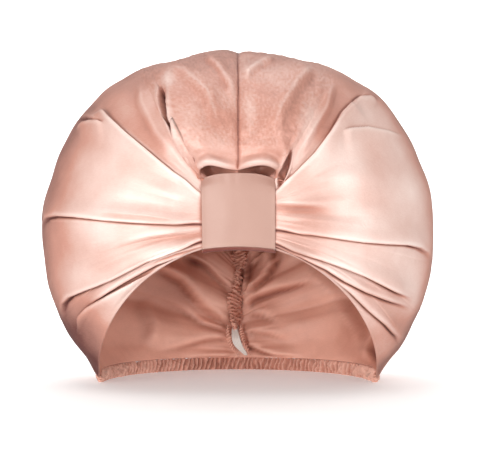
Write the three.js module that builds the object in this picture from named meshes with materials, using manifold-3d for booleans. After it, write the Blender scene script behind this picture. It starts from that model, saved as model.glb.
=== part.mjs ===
// A satin sleep bonnet: a puffed cap of two mirrored cloth panels that meet in a centre seam.
// The cloth is drawn together at the forehead under a flat tab, and fans out from there in
// overlapping folds over the crown to a second gathering line at the back of the head.
// Millimetres, +Z up, -Y towards the wearer's face. The origin is the middle of the head
// opening, level with the hem's lower edge.
import * as THREE from "three";
import Module from "manifold-3d";
import { mergeVertices } from "three/addons/utils/BufferGeometryUtils.js";

// Crown: two panels of cloth.
const crownHalfWidth = 146; // centre seam to the widest point of one side
const crownHeight = 252; // hem's lower edge to the top of the crown
const crownDepth = 220; // the tab's face to the upper end of the gathering line at the back
const crownHalfHeight = 148; // top of the crown down to its widest level
const crownSquareness = 0.032; // how much fuller than an ellipse the shoulders are
const rimTopDepth = 0.018 * crownDepth; // how far behind the origin the outline's top is
const rimSideBulge = 7; // extra forward puff of the side cloth, beyond an elliptical dome
const seatPuff = 9; // how far the back swells behind the gathering line's lower half
const clothWall = 2; // wall of the doubled satin
const seamGap = 0.4; // between the two panels

// Tab: the flat strap that wraps the gathered front.
const tabWidth = 53;
const tabHeight = 57;
const tabBottom = 104; // height of its lower edge at the sides
const tabWall = 1.6;
const tabFace = 0.49 * crownDepth; // how far in front of the origin its face stands
const tabLean = 3; // how far its top leans back
const tabBarrel = 2.4; // how far its side edges curve back from its middle
const tabArch = 2; // how far its lower edge rises in the middle
const tabInside = 38; // height of the return inside the crown
const knotUp = 131; // height of the middle of the hidden knot
const tuckReach = 0.5; // how far towards it the crown's cloth runs

// Lips: the two rolled lobes of cloth that hang over the top of the tab.
const lipArch = 8; // rise of the lobe's lower edge over the tab
const lipOverhang = 5.5; // how far it stands out over the tab's face
const lipHollow = 9; // depth of the hollow below it
const lipClear = 2.5; // how far the cloth stays above the tab's top edge
const lipRoof = 1.4; // how much higher the hollow is inside than at its lip

// Head opening and hem.
const cornerDepth = -0.1 * crownDepth; // where the front edge meets the hem, along Y
const archCorner = 1.08; // shape of the face arch: 1 is an ellipse, more is flatter
const hemBack = 0.418 * crownDepth; // hem at the centre back, from the origin along Y
const hemHeight = 9;
const hemThickness = 4.4;
const hemRuffles = 40;
const ruffleDepth = 0.8;

// Gathering line at the centre back, with its casing and elastic inside.
const gatherTop = 118; // height of its upper end
const gatherBack = 0.51 * crownDepth; // its upper end, from the origin along Y
const casingWidth = 15;
const casingThickness = 4.8;
const casingWall = 1.2;
const casingRuffles = 13;
const casingRuffleDepth = 0.9;
const casingSlack = 1.6; // how far it stands off the crown
const slitBottom = 16.5; // the slit in the casing that shows the elastic
const slitTop = 35;
const slitWidth = 8;
const tapeWidth = 4.8;
const tapeThickness = 0.9;
const tapeBulge = 3.4; // how far the slack elastic bows out of the slit
const tapeEnd = 4.5; // length of elastic that stays in the casing past each end of the slit
const pieceGap = 0.4; // between pieces that touch on the real bonnet
const wrapGap = 0.6; // between the tab and the cloth inside its fold

// Worked-out places.
const tabHalf = tabWidth / 2;
const sideRoot = tabHalf - 1.5; // where the cloth comes out from behind the tab's side
const cornerRoot = tabHalf + 1.2; // where it passes round the tab's top corner
const tabTop = tabBottom + tabHeight;
const hemTop = hemHeight + pieceGap;
const crownCentre = crownHeight - crownHalfHeight;
const wrapDepth = clothWall + 2.5 * wrapGap; // the space inside the folded tab

// Each row is one fold of a panel, from the centre seam (0) to the front edge (1).
// at: where it crosses the outline; root: its height on the tab's edge, as a share of the tab;
// lap: 1 where the cloth above laps over the cloth below, -1 where the lower one is on top;
// lift: ridge height in shares of the tallest fold; rise and fall: widths of its two slopes;
// from and to: its run, with 0 at the tab, 1 at the outline and 2 at the gathering line.
const foldLift = 6.5;
const lipShare = 0.2; // share of a panel's fan that comes over the top of the tab
const rightFolds = [
  { at: 0.09, root: 1, lap: -1, lift: 0.15, rise: 0.05, fall: 0.045, from: 0.45, to: 1.2 },
  { at: 0.215, root: 0.95, lap: -1, lift: 0.75, rise: 0.035, fall: 0.02, from: 0.02, to: 0.62 },
  { at: 0.303, root: 0.7, lap: -1, lift: 1, rise: 0.1, fall: 0.028, from: 0.02, to: 1.12 },
  { at: 0.6, root: 0.57, lap: 1, lift: 0.45, rise: 0.08, fall: 0.035, from: 0, to: 0.7 },
  { at: 0.72, root: 0.29, lap: 1, lift: 0.9, rise: 0.08, fall: 0.025, from: 0, to: 1.35 },
  { at: 0.83, root: 0.155, lap: 1, lift: 0.9, rise: 0.07, fall: 0.022, from: 0, to: 1.15 },
  { at: 0.915, root: 0.075, lap: 1, lift: 0.75, rise: 0.045, fall: 0.02, from: 0, to: 1.05 },
];
const leftFolds = [
  { at: 0.09, root: 1, lap: -1, lift: 0.15, rise: 0.05, fall: 0.045, from: 0.45, to: 1.2 },
  { at: 0.212, root: 0.96, lap: -1, lift: 0.85, rise: 0.04, fall: 0.022, from: 0.05, to: 0.85 },
  { at: 0.345, root: 0.76, lap: -1, lift: 1, rise: 0.09, fall: 0.028, from: 0.02, to: 1.1 },
  { at: 0.63, root: 0.38, lap: 1, lift: 1, rise: 0.09, fall: 0.025, from: 0, to: 1.35 },
  { at: 0.735, root: 0.28, lap: 1, lift: 0.5, rise: 0.055, fall: 0.03, from: 0, to: 0.65 },
  { at: 0.85, root: 0.14, lap: 1, lift: 1, rise: 0.065, fall: 0.022, from: 0, to: 1.2 },
  { at: 0.915, root: 0.075, lap: 1, lift: 0.75, rise: 0.035, fall: 0.02, from: 0, to: 1.05 },
];
// The soft lobes that run out from the gathering line at the back, in the same columns.
const backLobes = [
  { at: 0.1, lap: 1, lift: 0.9, rise: 0.08, fall: 0.05, from: 1.3, to: 1.99 },
  { at: 0.25, lap: 1, lift: 1.3, rise: 0.09, fall: 0.05, from: 1.2, to: 1.99 },
  { at: 0.42, lap: -1, lift: 1.2, rise: 0.1, fall: 0.05, from: 1.25, to: 1.99 },
  { at: 0.58, lap: 1, lift: 1.3, rise: 0.1, fall: 0.05, from: 1.2, to: 1.99 },
  { at: 0.77, lap: -1, lift: 1.1, rise: 0.09, fall: 0.05, from: 1.3, to: 1.99 },
];

// The casing wanders from side to side on its way up the gathering line.
// up: share of the gathering line's top; out: share of the casing's width, + towards +X.
const casingPath = [
  { up: 0.1, out: 0.3 },
  { up: 0.18, out: -0.12 },
  { up: 0.3, out: -0.34 },
  { up: 0.47, out: 0 },
  { up: 0.6, out: 0.32 },
  { up: 0.8, out: 0.1 },
  { up: 1, out: 0 },
];

const clamp = (value, low, high) => Math.min(high, Math.max(low, value));
const mix = (a, b, share) => a + (b - a) * share;
const ease = (share) => {
  const x = clamp(share, 0, 1);
  return x * x * (3 - 2 * x);
};

// The outline from the front at a share of the fan: [out, up].
function outlineAt(angle) {
  const full = 1 + crownSquareness * Math.sin(2 * angle);
  return [
    crownHalfWidth * full * Math.sin(angle),
    crownCentre + crownHalfHeight * full * Math.cos(angle),
  ];
}

// The outline's angle at the corner, where it comes down to the hem casing.
function findCornerAngle() {
  let low = Math.PI / 2;
  let high = Math.PI;
  for (let step = 0; step < 40; step += 1) {
    const middle = (low + high) / 2;
    if (outlineAt(middle)[1] > hemTop) low = middle;
    else high = middle;
  }
  return low;
}
const cornerAngle = findCornerAngle();
const cornerOut = outlineAt(cornerAngle)[0];

// The Y of the tab's face, and of the cloth that lies behind the tab.
function tabFaceAt(out, up) {
  const lean = (tabLean * clamp(up - tabBottom, 0, tabHeight * 1.2)) / tabHeight;
  return -tabFace + lean + tabBarrel * (out / tabHalf) ** 2;
}
function behindTab(out, up) {
  const slack = ease((up - tabBottom - tabInside) / 10); // more room above the return
  return tabFaceAt(out, up) + tabWall + wrapGap + slack;
}

// Height on the tab's edge where a share of the fan comes out from under it.
function rootHeight(folds, share) {
  const low = tabBottom + tabWall + 3 * pieceGap;
  const high = tabTop;
  const rows = [
    { at: lipShare, root: 1 },
    ...folds.filter((fold) => fold.at > lipShare),
    { at: 1, root: 0 },
  ];
  const next = clamp(rows.findIndex((row) => row.at >= share), 1, rows.length - 1);
  const before = rows[next - 1];
  const after = rows[next];
  const along = clamp((share - before.at) / (after.at - before.at), 0, 1);
  return mix(low, high, mix(before.root, after.root, along));
}

// How strongly a lobe of the lip shows at a share of the fan: none at the seam and the corner.
const lipAt = (share) =>
  share < lipShare ? Math.sin((Math.PI * share) / lipShare) ** 0.8 : 0;

// How much of the face arch's sweep a share of the fan follows: all of it at the front edge.
const archSweep = (share) => ease((share - 0.55) / 0.45) ** 1.3;

// The first visible point of a fan line: on the lip over the tab, or at the tab's side edge.
function rootPoint(folds, share) {
  const lip = lipAt(share);
  if (share < lipShare) {
    const out = (cornerRoot * share) / lipShare;
    return [
      out,
      tabFaceAt(out, tabTop) - tabWall - lipOverhang * lip,
      tabTop + lipClear + lipArch * lip,
    ];
  }
  const up = rootHeight(folds, share);
  const over = 1 - ease((share - lipShare) / 0.03);
  const round = 1 - ease((share - lipShare - 0.03) / 0.03);
  return [
    mix(sideRoot, cornerRoot, round),
    mix(behindTab(tabHalf, up), tabFaceAt(tabHalf, up) - tabWall, over),
    up + lipClear * over,
  ];
}

// The hidden cloth: back over the tab's top or round its side, then towards the knot behind
// the middle of the tab, where it stops short.
function tuckPoint(folds, share, along) {
  const root = rootPoint(folds, share);
  const lip = lipAt(share);
  const top = behindTab(root[0], tabTop);
  const side = ease((share - lipShare) / 0.03);
  const towardsKnot = (part) => {
    const across = mix(root[0], Math.min(root[0], sideRoot), Math.min(1, (2 * part) / tuckReach));
    const out = across * (1 - part);
    const up = mix(Math.min(root[2], tabTop), knotUp, part);
    return [out, behindTab(out, up), up];
  };
  const low = towardsKnot(tuckReach);
  const over = [
    root,
    [root[0], mix(root[1], top, 0.55), tabTop + lipClear + (lipArch + lipRoof) * lip],
    [root[0], top + lipHollow * lip, tabTop + lipClear - pieceGap + lipArch * lip],
    [mix(root[0], low[0], 0.4), top + 0.5 * lipHollow * lip, tabTop - lipClear * 1.6],
    low,
  ];
  const round = [
    root,
    towardsKnot(tuckReach * 0.14),
    towardsKnot(tuckReach * 0.38),
    towardsKnot(tuckReach * 0.68),
    low,
  ];
  const place = clamp(along, 0, 1) * 4;
  const index = Math.min(3, Math.floor(place));
  const at = (rows, axis) => mix(rows[index][axis], rows[index + 1][axis], place - index);
  return [0, 1, 2].map((axis) => mix(at(over, axis), at(round, axis), side));
}

// A fan line from its root to the outline.
function frontPoint(folds, share, along) {
  const root = rootPoint(folds, share);
  const [rimOut, rimUp] = outlineAt(share * cornerAngle);
  const rimDepth = mix(rimTopDepth, cornerDepth, share * share);
  const turn = (along * Math.PI) / 2;
  const sweep = archSweep(share);
  const roundness = mix(1, 1.3, sweep); // 1 is an ellipse, more is straighter
  const reach = Math.sin(turn) ** roundness;
  const drop = 1 - Math.cos(turn) ** roundness;
  // The face arch is close to a quarter ellipse. The lines next to it follow it in part.
  const start = rootPoint(folds, 1);
  const first = Math.asin((start[0] / cornerOut) ** (1 / archCorner));
  const turned = mix(first, Math.PI / 2, reach);
  const rise = (start[2] - hemTop) / Math.cos(first) ** archCorner;
  const archOut = cornerOut * Math.sin(turned) ** archCorner;
  const archUp = hemTop + rise * Math.max(0, Math.cos(turned)) ** archCorner;
  const sweepOut = archOut - mix(start[0], cornerOut, reach);
  const sweepUp = archUp - mix(start[2], hemTop, reach);
  const side = Math.sin(Math.PI * clamp((share - 0.1) / 0.9, 0, 1));
  const puff = rimSideBulge * side * Math.sin(Math.PI * reach ** 0.9) ** 1.3;
  return [
    mix(root[0], rimOut, reach) + sweep * sweepOut,
    mix(root[1], rimDepth, drop) - puff,
    mix(root[2], rimUp, reach) + sweep * sweepUp,
  ];
}

// Y of the gathering line at a height.
const gatherDepth = (up) => mix(hemBack, gatherBack, ease((up - hemTop) / (gatherTop - hemTop)) ** 0.8);

// A fan line from the outline to the gathering line at the back.
function backPoint(share, along) {
  const [rimOut, rimUp] = outlineAt(share * cornerAngle);
  const rimDepth = mix(rimTopDepth, cornerDepth, share * share);
  const endUp = mix(gatherTop, hemTop, share);
  const turn = (along * Math.PI) / 2;
  const inward = 1 - Math.cos(turn);
  const swell = seatPuff * Math.sin(Math.PI * share) * Math.sin(Math.PI * along) ** 2;
  return [
    mix(rimOut, 0, inward),
    mix(rimDepth, gatherDepth(endUp), Math.sin(turn)) + swell,
    mix(rimUp, endUp, inward),
  ];
}

// The smooth crown before its folds. run is -1 to 0 under the tab, 0 to 1 front, 1 to 2 back.
function crownPoint(folds, share, run) {
  if (run < 0) return tuckPoint(folds, share, -run);
  if (run <= 1) return frontPoint(folds, share, run);
  return backPoint(share, run - 1);
}

// How far the cloth stands off the smooth crown at one place.
function liftAt(folds, share, run) {
  let lift = 0;
  for (const fold of [...folds, ...backLobes]) {
    const span = fold.to - fold.from;
    const begin = ease((run - fold.from) / Math.min(0.3, span / 2));
    const end = ease((fold.to - run) / (span / 2));
    const off = (share - fold.at) * fold.lap;
    const shape = off < 0 ? ease(1 + off / fold.rise) : ease(1 - off / fold.fall);
    lift += foldLift * fold.lift * begin * end * shape;
  }
  return lift;
}

// Columns of a panel: the foot, slope and ridge of each fold, and steps between them.
function panelColumns(folds) {
  const shares = [0, 0.025, 0.055, 0.15, 0.178, lipShare];
  shares.push(lipShare + 0.015, lipShare + 0.03, lipShare + 0.06, 0.965, 1);
  for (const fold of folds) {
    shares.push(fold.at - fold.rise * fold.lap, fold.at, fold.at + fold.fall * fold.lap);
  }
  for (const fold of backLobes) shares.push(fold.at);
  const widestStep = 0.05;
  const nearest = 0.011;
  const sorted = shares.filter((share) => share >= 0 && share <= 1).sort((a, b) => a - b);
  const columns = [0];
  for (const share of sorted) {
    const last = columns[columns.length - 1];
    if (share - last < nearest) continue;
    const extra = Math.ceil((share - last) / widestStep);
    for (let step = 1; step <= extra; step += 1) columns.push(mix(last, share, step / extra));
  }
  columns[columns.length - 1] = 1;
  return columns;
}

// A closed geometry between an outer and an inner sheet of points, each sheet[column][row].
function shellGeometry(outer, inner, flip) {
  const columns = outer.length;
  const rows = outer[0].length;
  const positions = [...outer.flat(2), ...inner.flat(2)];
  const outside = (i, j) => i * rows + j;
  const inside = (i, j) => columns * rows + outside(i, j);
  const index = [];
  const quad = (a, b, c, d) => {
    if (flip) index.push(a, c, b, a, d, c);
    else index.push(a, b, c, a, c, d);
  };
  for (let i = 0; i + 1 < columns; i += 1) {
    for (let j = 0; j + 1 < rows; j += 1) {
      quad(outside(i, j), outside(i + 1, j), outside(i + 1, j + 1), outside(i, j + 1));
      quad(inside(i, j), inside(i, j + 1), inside(i + 1, j + 1), inside(i + 1, j));
    }
    quad(outside(i, 0), inside(i, 0), inside(i + 1, 0), outside(i + 1, 0));
    quad(outside(i, rows - 1), outside(i + 1, rows - 1), inside(i + 1, rows - 1), inside(i, rows - 1));
  }
  for (let j = 0; j + 1 < rows; j += 1) {
    quad(outside(0, j), outside(0, j + 1), inside(0, j + 1), inside(0, j));
    quad(outside(columns - 1, j), inside(columns - 1, j), inside(columns - 1, j + 1), outside(columns - 1, j + 1));
  }
  const geometry = new THREE.BufferGeometry();
  geometry.setAttribute("position", new THREE.Float32BufferAttribute(positions, 3));
  geometry.setIndex(index);
  return geometry;
}

// Outward directions of a sheet of points, from the faces around each of them.
function sheetNormals(sheet, outward) {
  return sheet.map((column, i) =>
    column.map((point, j) => {
      const at = (a, b) =>
        new THREE.Vector3(...sheet[clamp(a, 0, sheet.length - 1)][clamp(b, 0, column.length - 1)]);
      const sum = new THREE.Vector3();
      for (const [a, b] of [[-1, -1], [0, -1], [-1, 0], [0, 0]]) {
        const across = at(i + a + 1, j + b + 1).sub(at(i + a, j + b));
        const other = at(i + a, j + b + 1).sub(at(i + a + 1, j + b));
        sum.add(across.cross(other));
      }
      return sum.normalize().multiplyScalar(outward);
    }),
  );
}

// One cloth panel of the crown. side is 1 for +X and -1 for -X.
function crownPanel(folds, side) {
  const columns = panelColumns(folds);
  const tuckRows = [-1, -0.75, -0.5, -0.25];
  const frontRows = [0, 0.05, 0.12, 0.2, 0.28, 0.36, 0.45, 0.54, 0.63, 0.72, 0.81, 0.9];
  const backRows = [1, 1.1, 1.2, 1.3, 1.4, 1.5, 1.6, 1.7, 1.8, 1.88, 1.95, 2];
  const rows = [...tuckRows, ...frontRows, ...backRows];
  const smooth = columns.map((share) => rows.map((run) => crownPoint(folds, share, run)));
  const normals = sheetNormals(smooth, 1);
  const outer = [];
  const inner = [];
  columns.forEach((share, i) => {
    outer.push([]);
    inner.push([]);
    rows.forEach((run, j) => {
      const normal = normals[i][j];
      const onSeam = i === 0 || j === rows.length - 1;
      if (onSeam) normal.setX(0).normalize();
      const point = new THREE.Vector3(...smooth[i][j]);
      point.addScaledVector(normal, liftAt(folds, share, run));
      const back = point.clone().addScaledVector(normal, -clothWall);
      for (const [sheet, place] of [[outer, point], [inner, back]]) {
        const out = Math.max(place.x, 0) + seamGap / 2;
        sheet[i].push([side * out, place.y, place.z]);
      }
    });
  });
  return shellGeometry(outer, inner, side < 0);
}

// The tab: one strap that runs down the front, round the gathered edge and up inside.
function tabGeometry() {
  const columns = 8;
  const bend = wrapDepth / 2 + tabWall; // outer radius of the fold at the lower edge
  const outer = [];
  const inner = [];
  for (let i = 0; i <= columns; i += 1) {
    const out = mix(-tabHalf, tabHalf, i / columns);
    const bottom = tabBottom + tabArch * (1 - (out / tabHalf) ** 2);
    outer.push([]);
    inner.push([]);
    const add = (up, outerDepth, innerUp, innerDepth) => {
      outer[i].push([out, outerDepth, up]);
      inner[i].push([out, innerDepth, innerUp]);
    };
    for (const share of [1, 0.8, 0.6, 0.4, 0.2]) {
      const up = mix(bottom, tabTop, share);
      add(up, tabFaceAt(out, up), up, tabFaceAt(out, up) + tabWall);
    }
    for (let step = 0; step <= 6; step += 1) {
      const turn = (step / 6) * Math.PI;
      const middle = tabFaceAt(out, bottom) + bend;
      const lift = bottom + tabWall * 1.2;
      add(
        lift - tabWall * 1.2 * Math.sin(turn),
        middle - bend * Math.cos(turn),
        lift + tabWall * 0.1 - tabWall * 0.1 * Math.sin(turn),
        middle - (wrapDepth / 2) * Math.cos(turn),
      );
    }
    for (const share of [0.35, 0.7, 1]) {
      const up = bottom + tabInside * share;
      const face = tabFaceAt(out, up) + tabWall + wrapDepth;
      add(up, face + tabWall, up, face);
    }
  }
  return shellGeometry(outer, inner, true);
}

// The hem casing's section, from its bottom round the outside: shares of its thickness, from
// the crown's outer face outwards, and of its height. Its inner flange stands inside the crown.
const hemSection = [
  { out: -0.25, up: 0 },
  { out: 0.12, up: 0.12 },
  { out: 0.24, up: 0.5 },
  { out: 0.14, up: 0.9 },
  { out: 0, up: 1 },
  { out: -0.57, up: 1 },
  { out: -0.6, up: 1.28 },
  { out: -0.82, up: 1.24 },
  { out: -0.88, up: 0.6 },
  { out: -0.72, up: 0.14 },
];

// The hem casing: a gathered tube of cloth round the elastic, from corner to corner.
function hemGeometry() {
  const steps = hemRuffles * 2;
  const rings = [];
  for (let i = 0; i <= steps; i += 1) {
    const along = i / steps;
    const side = along < 0.5 ? -1 : 1;
    const run = Math.min(along, 1 - along) * 2;
    const edge = backPoint(1, run);
    const near = backPoint(1, Math.min(1, run + 0.01));
    const before = backPoint(1, Math.max(0, run - 0.01));
    const heading = new THREE.Vector2(near[0] - before[0], near[1] - before[1]).normalize();
    const ripple = ruffleDepth * Math.cos(2 * Math.PI * hemRuffles * along);
    const end = ease(run * 10); // the ends are tucked in
    const tip = mix(0.4, 1, end);
    const ring = hemSection.map((row) => {
      const bulge = ripple * (row.up > 0.99 ? 0 : 1) * (row.out > -0.3 ? 1 : -1);
      const off = row.out * tip * hemThickness + bulge * 0.6 - (1 - tip) * clothWall * 0.5;
      const flange = Math.max(0, row.up - 1) * end;
      const up = hemHeight * (1 - tip * (1 - Math.min(row.up, 1)) + flange);
      return [side * (edge[0] + heading.y * off), edge[1] - heading.x * off, up];
    });
    rings.push(ring);
  }
  return tubeGeometry(rings, false);
}

// A closed geometry through rings of points, with a flat face at each end.
function tubeGeometry(rings, flip) {
  const size = rings[0].length;
  const positions = rings.flat(2);
  const index = [];
  const face = (a, b, c) => (flip ? index.push(a, c, b) : index.push(a, b, c));
  for (let i = 0; i + 1 < rings.length; i += 1) {
    for (let k = 0; k < size; k += 1) {
      const next = (k + 1) % size;
      face(i * size + k, i * size + next, (i + 1) * size + next);
      face(i * size + k, (i + 1) * size + next, (i + 1) * size + k);
    }
  }
  const last = (rings.length - 1) * size;
  for (let k = 1; k + 1 < size; k += 1) {
    face(0, k + 1, k);
    face(last, last + k, last + k + 1);
  }
  const geometry = new THREE.BufferGeometry();
  geometry.setAttribute("position", new THREE.Float32BufferAttribute(positions, 3));
  geometry.setIndex(index);
  return geometry;
}

// Y of the casing's middle line: inside the crown's wall at the centre back.
const casingRoom = clothWall + casingThickness / 2 + casingRuffleDepth + casingSlack;
const casingDepth = (up) => gatherDepth(up) - casingRoom;
const casingTop = gatherTop - 4;
const casingBottom = hemTop + 2;

// How far to the side the casing's middle line runs at a height.
function casingOut(up) {
  const height = clamp(up / gatherTop, casingPath[0].up, 1);
  const next = Math.max(1, casingPath.findIndex((row) => row.up >= height));
  const [before, after] = [casingPath[next - 1], casingPath[next]];
  const along = (height - before.up) / (after.up - before.up);
  return casingWidth * mix(before.out, after.out, ease(along));
}

// A strip's rings along the gathering line: an oval section of the given width and thickness.
function stripRings(bottom, top, steps, sides, widthAt, thicknessAt, bulgeAt) {
  const rings = [];
  for (let i = 0; i <= steps; i += 1) {
    const up = mix(bottom, top, i / steps);
    const ring = [];
    for (let k = 0; k < sides; k += 1) {
      const turn = (2 * Math.PI * k) / sides;
      const round = (value) => Math.sign(value) * Math.abs(value) ** 0.75;
      ring.push([
        casingOut(up) + (widthAt(up) / 2) * round(Math.cos(turn)),
        casingDepth(up) - bulgeAt(up) + (thicknessAt(up) / 2) * round(Math.sin(turn)),
        up,
      ]);
    }
    rings.push(ring);
  }
  return rings;
}

const { Manifold, Mesh } = await (async () => {
  const wasm = await Module();
  wasm.setup();
  return wasm;
})();

// A geometry as a solid for cutting, and back.
function solidOf(geometry) {
  const bare = geometry.clone();
  bare.deleteAttribute("normal");
  bare.deleteAttribute("uv");
  const merged = mergeVertices(bare, 1e-4);
  return new Manifold(
    new Mesh({
      numProp: 3,
      vertProperties: merged.attributes.position.array,
      triVerts: new Uint32Array(merged.index.array),
    }),
  );
}
function geometryOf(solid) {
  const mesh = solid.getMesh();
  const geometry = new THREE.BufferGeometry();
  geometry.setAttribute("position", new THREE.BufferAttribute(mesh.vertProperties, 3));
  geometry.setIndex(new THREE.BufferAttribute(mesh.triVerts, 1));
  return geometry;
}

// The casing at the centre back: a ruched tunnel with a slit in its front.
function casingGeometry() {
  const ripple = (up) =>
    casingRuffleDepth * Math.cos((2 * Math.PI * casingRuffles * (up - casingBottom)) / (casingTop - casingBottom));
  const body = stripRings(
    casingBottom,
    casingTop,
    casingRuffles * 3,
    10,
    (up) => casingWidth + 2 * ripple(up),
    (up) => casingThickness + ripple(up),
    () => 0,
  );
  const bore = stripRings(
    casingBottom - 1,
    casingTop + 1,
    casingRuffles * 2,
    8,
    () => casingWidth - 2 * casingWall - 2 * casingRuffleDepth,
    () => casingThickness - 2 * casingWall,
    () => 0,
  );
  const slit = stripRings(
    slitBottom,
    slitTop,
    10,
    8,
    () => slitWidth,
    () => 2 * casingThickness,
    () => casingThickness,
  );
  return geometryOf(
    solidOf(tubeGeometry(body, false))
      .subtract(solidOf(tubeGeometry(bore, false)))
      .subtract(solidOf(tubeGeometry(slit, false))),
  );
}

// The elastic: flat in the casing, and slack where the slit shows it.
function tapeGeometry() {
  const length = slitTop - slitBottom;
  const bulge = (up) => tapeBulge * Math.sin(Math.PI * clamp((up - slitBottom) / length, 0, 1)) ** 2;
  const rings = stripRings(
    slitBottom - tapeEnd,
    slitTop + tapeEnd,
    16,
    8,
    () => tapeWidth,
    () => tapeThickness,
    bulge,
  );
  return tubeGeometry(rings, false);
}

const satin = new THREE.MeshStandardMaterial({ color: 0xe0b0a2, roughness: 0.38, metalness: 0 });
const tabSatin = new THREE.MeshStandardMaterial({ color: 0xdfb5a7, roughness: 0.45, metalness: 0 });
const hemSatin = new THREE.MeshStandardMaterial({ color: 0xc08670, roughness: 0.5, metalness: 0 });
const elastic = new THREE.MeshStandardMaterial({ color: 0xe6e2dc, roughness: 0.7, metalness: 0 });

const bonnet = new THREE.Group();
function addPiece(name, geometry, material) {
  const piece = new THREE.Mesh(geometry, material);
  piece.name = name;
  bonnet.add(piece);
}

addPiece("crown_right", crownPanel(rightFolds, 1), satin);
addPiece("crown_left", crownPanel(leftFolds, -1), satin);
addPiece("front_tab", tabGeometry(), tabSatin);
addPiece("hem_casing", hemGeometry(), hemSatin);
addPiece("back_casing", casingGeometry(), hemSatin);
addPiece("elastic_tape", tapeGeometry(), elastic);

export default bonnet;
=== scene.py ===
import math

import bpy
import numpy as np
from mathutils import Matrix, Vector, noise


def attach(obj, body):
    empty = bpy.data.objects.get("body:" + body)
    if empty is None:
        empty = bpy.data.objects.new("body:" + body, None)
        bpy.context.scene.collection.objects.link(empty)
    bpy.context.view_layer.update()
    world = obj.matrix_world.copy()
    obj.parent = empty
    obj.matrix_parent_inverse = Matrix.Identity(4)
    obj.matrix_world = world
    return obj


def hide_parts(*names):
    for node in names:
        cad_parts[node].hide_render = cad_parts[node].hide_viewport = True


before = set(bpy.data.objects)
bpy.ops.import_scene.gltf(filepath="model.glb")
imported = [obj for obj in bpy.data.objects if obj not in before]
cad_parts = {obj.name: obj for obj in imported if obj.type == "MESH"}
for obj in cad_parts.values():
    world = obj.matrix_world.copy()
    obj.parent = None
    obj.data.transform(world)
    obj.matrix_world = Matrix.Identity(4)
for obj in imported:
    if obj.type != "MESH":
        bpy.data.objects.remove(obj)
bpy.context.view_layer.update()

print("bonnet: frame loaded")

mm = 0.001  # shapes are worked out in millimetres, and meshes are made in metres

# small helpers


def ease(x):
    x = np.clip(x, 0, 1)
    return x * x * (3 - 2 * x)


def mix(a, b, share):
    return a + (b - a) * share


def hump(x, middle, width):
    # a bell of height 1
    return np.exp(-(((x - middle) / width) ** 2))


def unit(v):
    return v / np.maximum(np.linalg.norm(v, axis=-1, keepdims=True), 1e-9)


def noiseField(u, v, w=0.0):
    # smooth noise from -1 to 1 on arrays of places
    u, v, w = np.broadcast_arrays(u, v, w)
    flat = [noise.noise(Vector(p)) for p in zip(u.ravel(), v.ravel(), w.ravel())]
    return np.array(flat).reshape(u.shape)


def newObject(name, mesh):
    piece = bpy.data.objects.new(name, mesh)
    bpy.context.scene.collection.objects.link(piece)
    return piece


def gridNormals(grid):
    across = np.gradient(grid, axis=0)
    along = np.gradient(grid, axis=1)
    return unit(np.cross(across, along))


# camera, floor and light

view = {
    "distance": 1.9,  # from the middle of the head opening
    "height": 0.192,  # camera above the hem
    "aim": (0.0015, 0.0, 0.1167),
    "span": 0.3673,  # width of the picture at the bonnet
}
floor = {
    "height": -0.0002,
    "half": 3.0,
    "back": 1.6,
    "bend": 0.8,
    "bendSteps": 12,
    "top": 3.5,
    "color": (0.93, 0.93, 0.935),
    "glow": 0.24,  # the paper is lit to white
}
lamps = [
    # name, place, aim, size, watts, color
    ("frontLeft", (-1.1, -1.4, 0.36), (0, 0, 0.13), 0.9, 14.0, (1.0, 0.98, 0.965)),
    ("frontRight", (1.3, -1.35, 0.26), (0, 0, 0.13), 0.8, 14.0, (1.0, 0.98, 0.965)),
    ("lowFront", (-0.4, -1.25, 0.12), (0.03, 0.1, 0.05), 0.22, 4.5, (1.0, 0.95, 0.92)),
    ("overhead", (-0.2, -0.1, 1.7), (0, 0, 0.13), 0.9, 4.6, (1.0, 0.99, 0.98)),
    ("backdrop", (0.0, 0.75, 1.5), (0, 2.2, 0.4), 1.6, 42.0, (1.0, 1.0, 1.0)),
]
surround = {"color": (1.0, 0.94, 0.91), "strength": 0.42}


def makeCamera():
    data = bpy.data.cameras.new("photoCamera")
    data.sensor_width = 36
    data.lens = 36 * view["distance"] / view["span"]
    data.clip_end = 30
    camera = newObject("photoCamera", data)
    aim = Vector(view["aim"])
    place = Vector((aim.x, -view["distance"], view["height"]))
    camera.location = place
    camera.rotation_euler = (aim - place).to_track_quat("-Z", "Y").to_euler()
    bpy.context.scene.camera = camera


def makeFloor():
    # a sheet of paper that sweeps up behind the bonnet
    back, bend = floor["back"], floor["bend"]
    profile = [(-floor["half"], 0.0), (back, 0.0)]
    for step in range(1, floor["bendSteps"] + 1):
        turn = step / floor["bendSteps"] * math.pi / 2
        profile.append((back + bend * math.sin(turn), bend * (1 - math.cos(turn))))
    profile.append((back + bend, floor["top"]))
    points, faces = [], []
    for y, z in profile:
        points += [(-floor["half"], y, z + floor["height"]), (floor["half"], y, z + floor["height"])]
    for i in range(len(profile) - 1):
        faces.append((2 * i, 2 * i + 1, 2 * i + 3, 2 * i + 2))
    mesh = bpy.data.meshes.new("paperSweep")
    mesh.from_pydata(points, [], faces)
    for face in mesh.polygons:
        face.use_smooth = True
    paper = newObject("paperSweep", mesh)
    material = bpy.data.materials.new("pale paper")
    material.use_nodes = True
    shader = material.node_tree.nodes["Principled BSDF"]
    shader.inputs["Base Color"].default_value = (*floor["color"], 1)
    shader.inputs["Roughness"].default_value = 0.9
    shader.inputs["Emission Color"].default_value = (1, 1, 1, 1)
    shader.inputs["Emission Strength"].default_value = floor["glow"]
    mesh.materials.append(material)
    paper.visible_glossy = False


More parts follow.
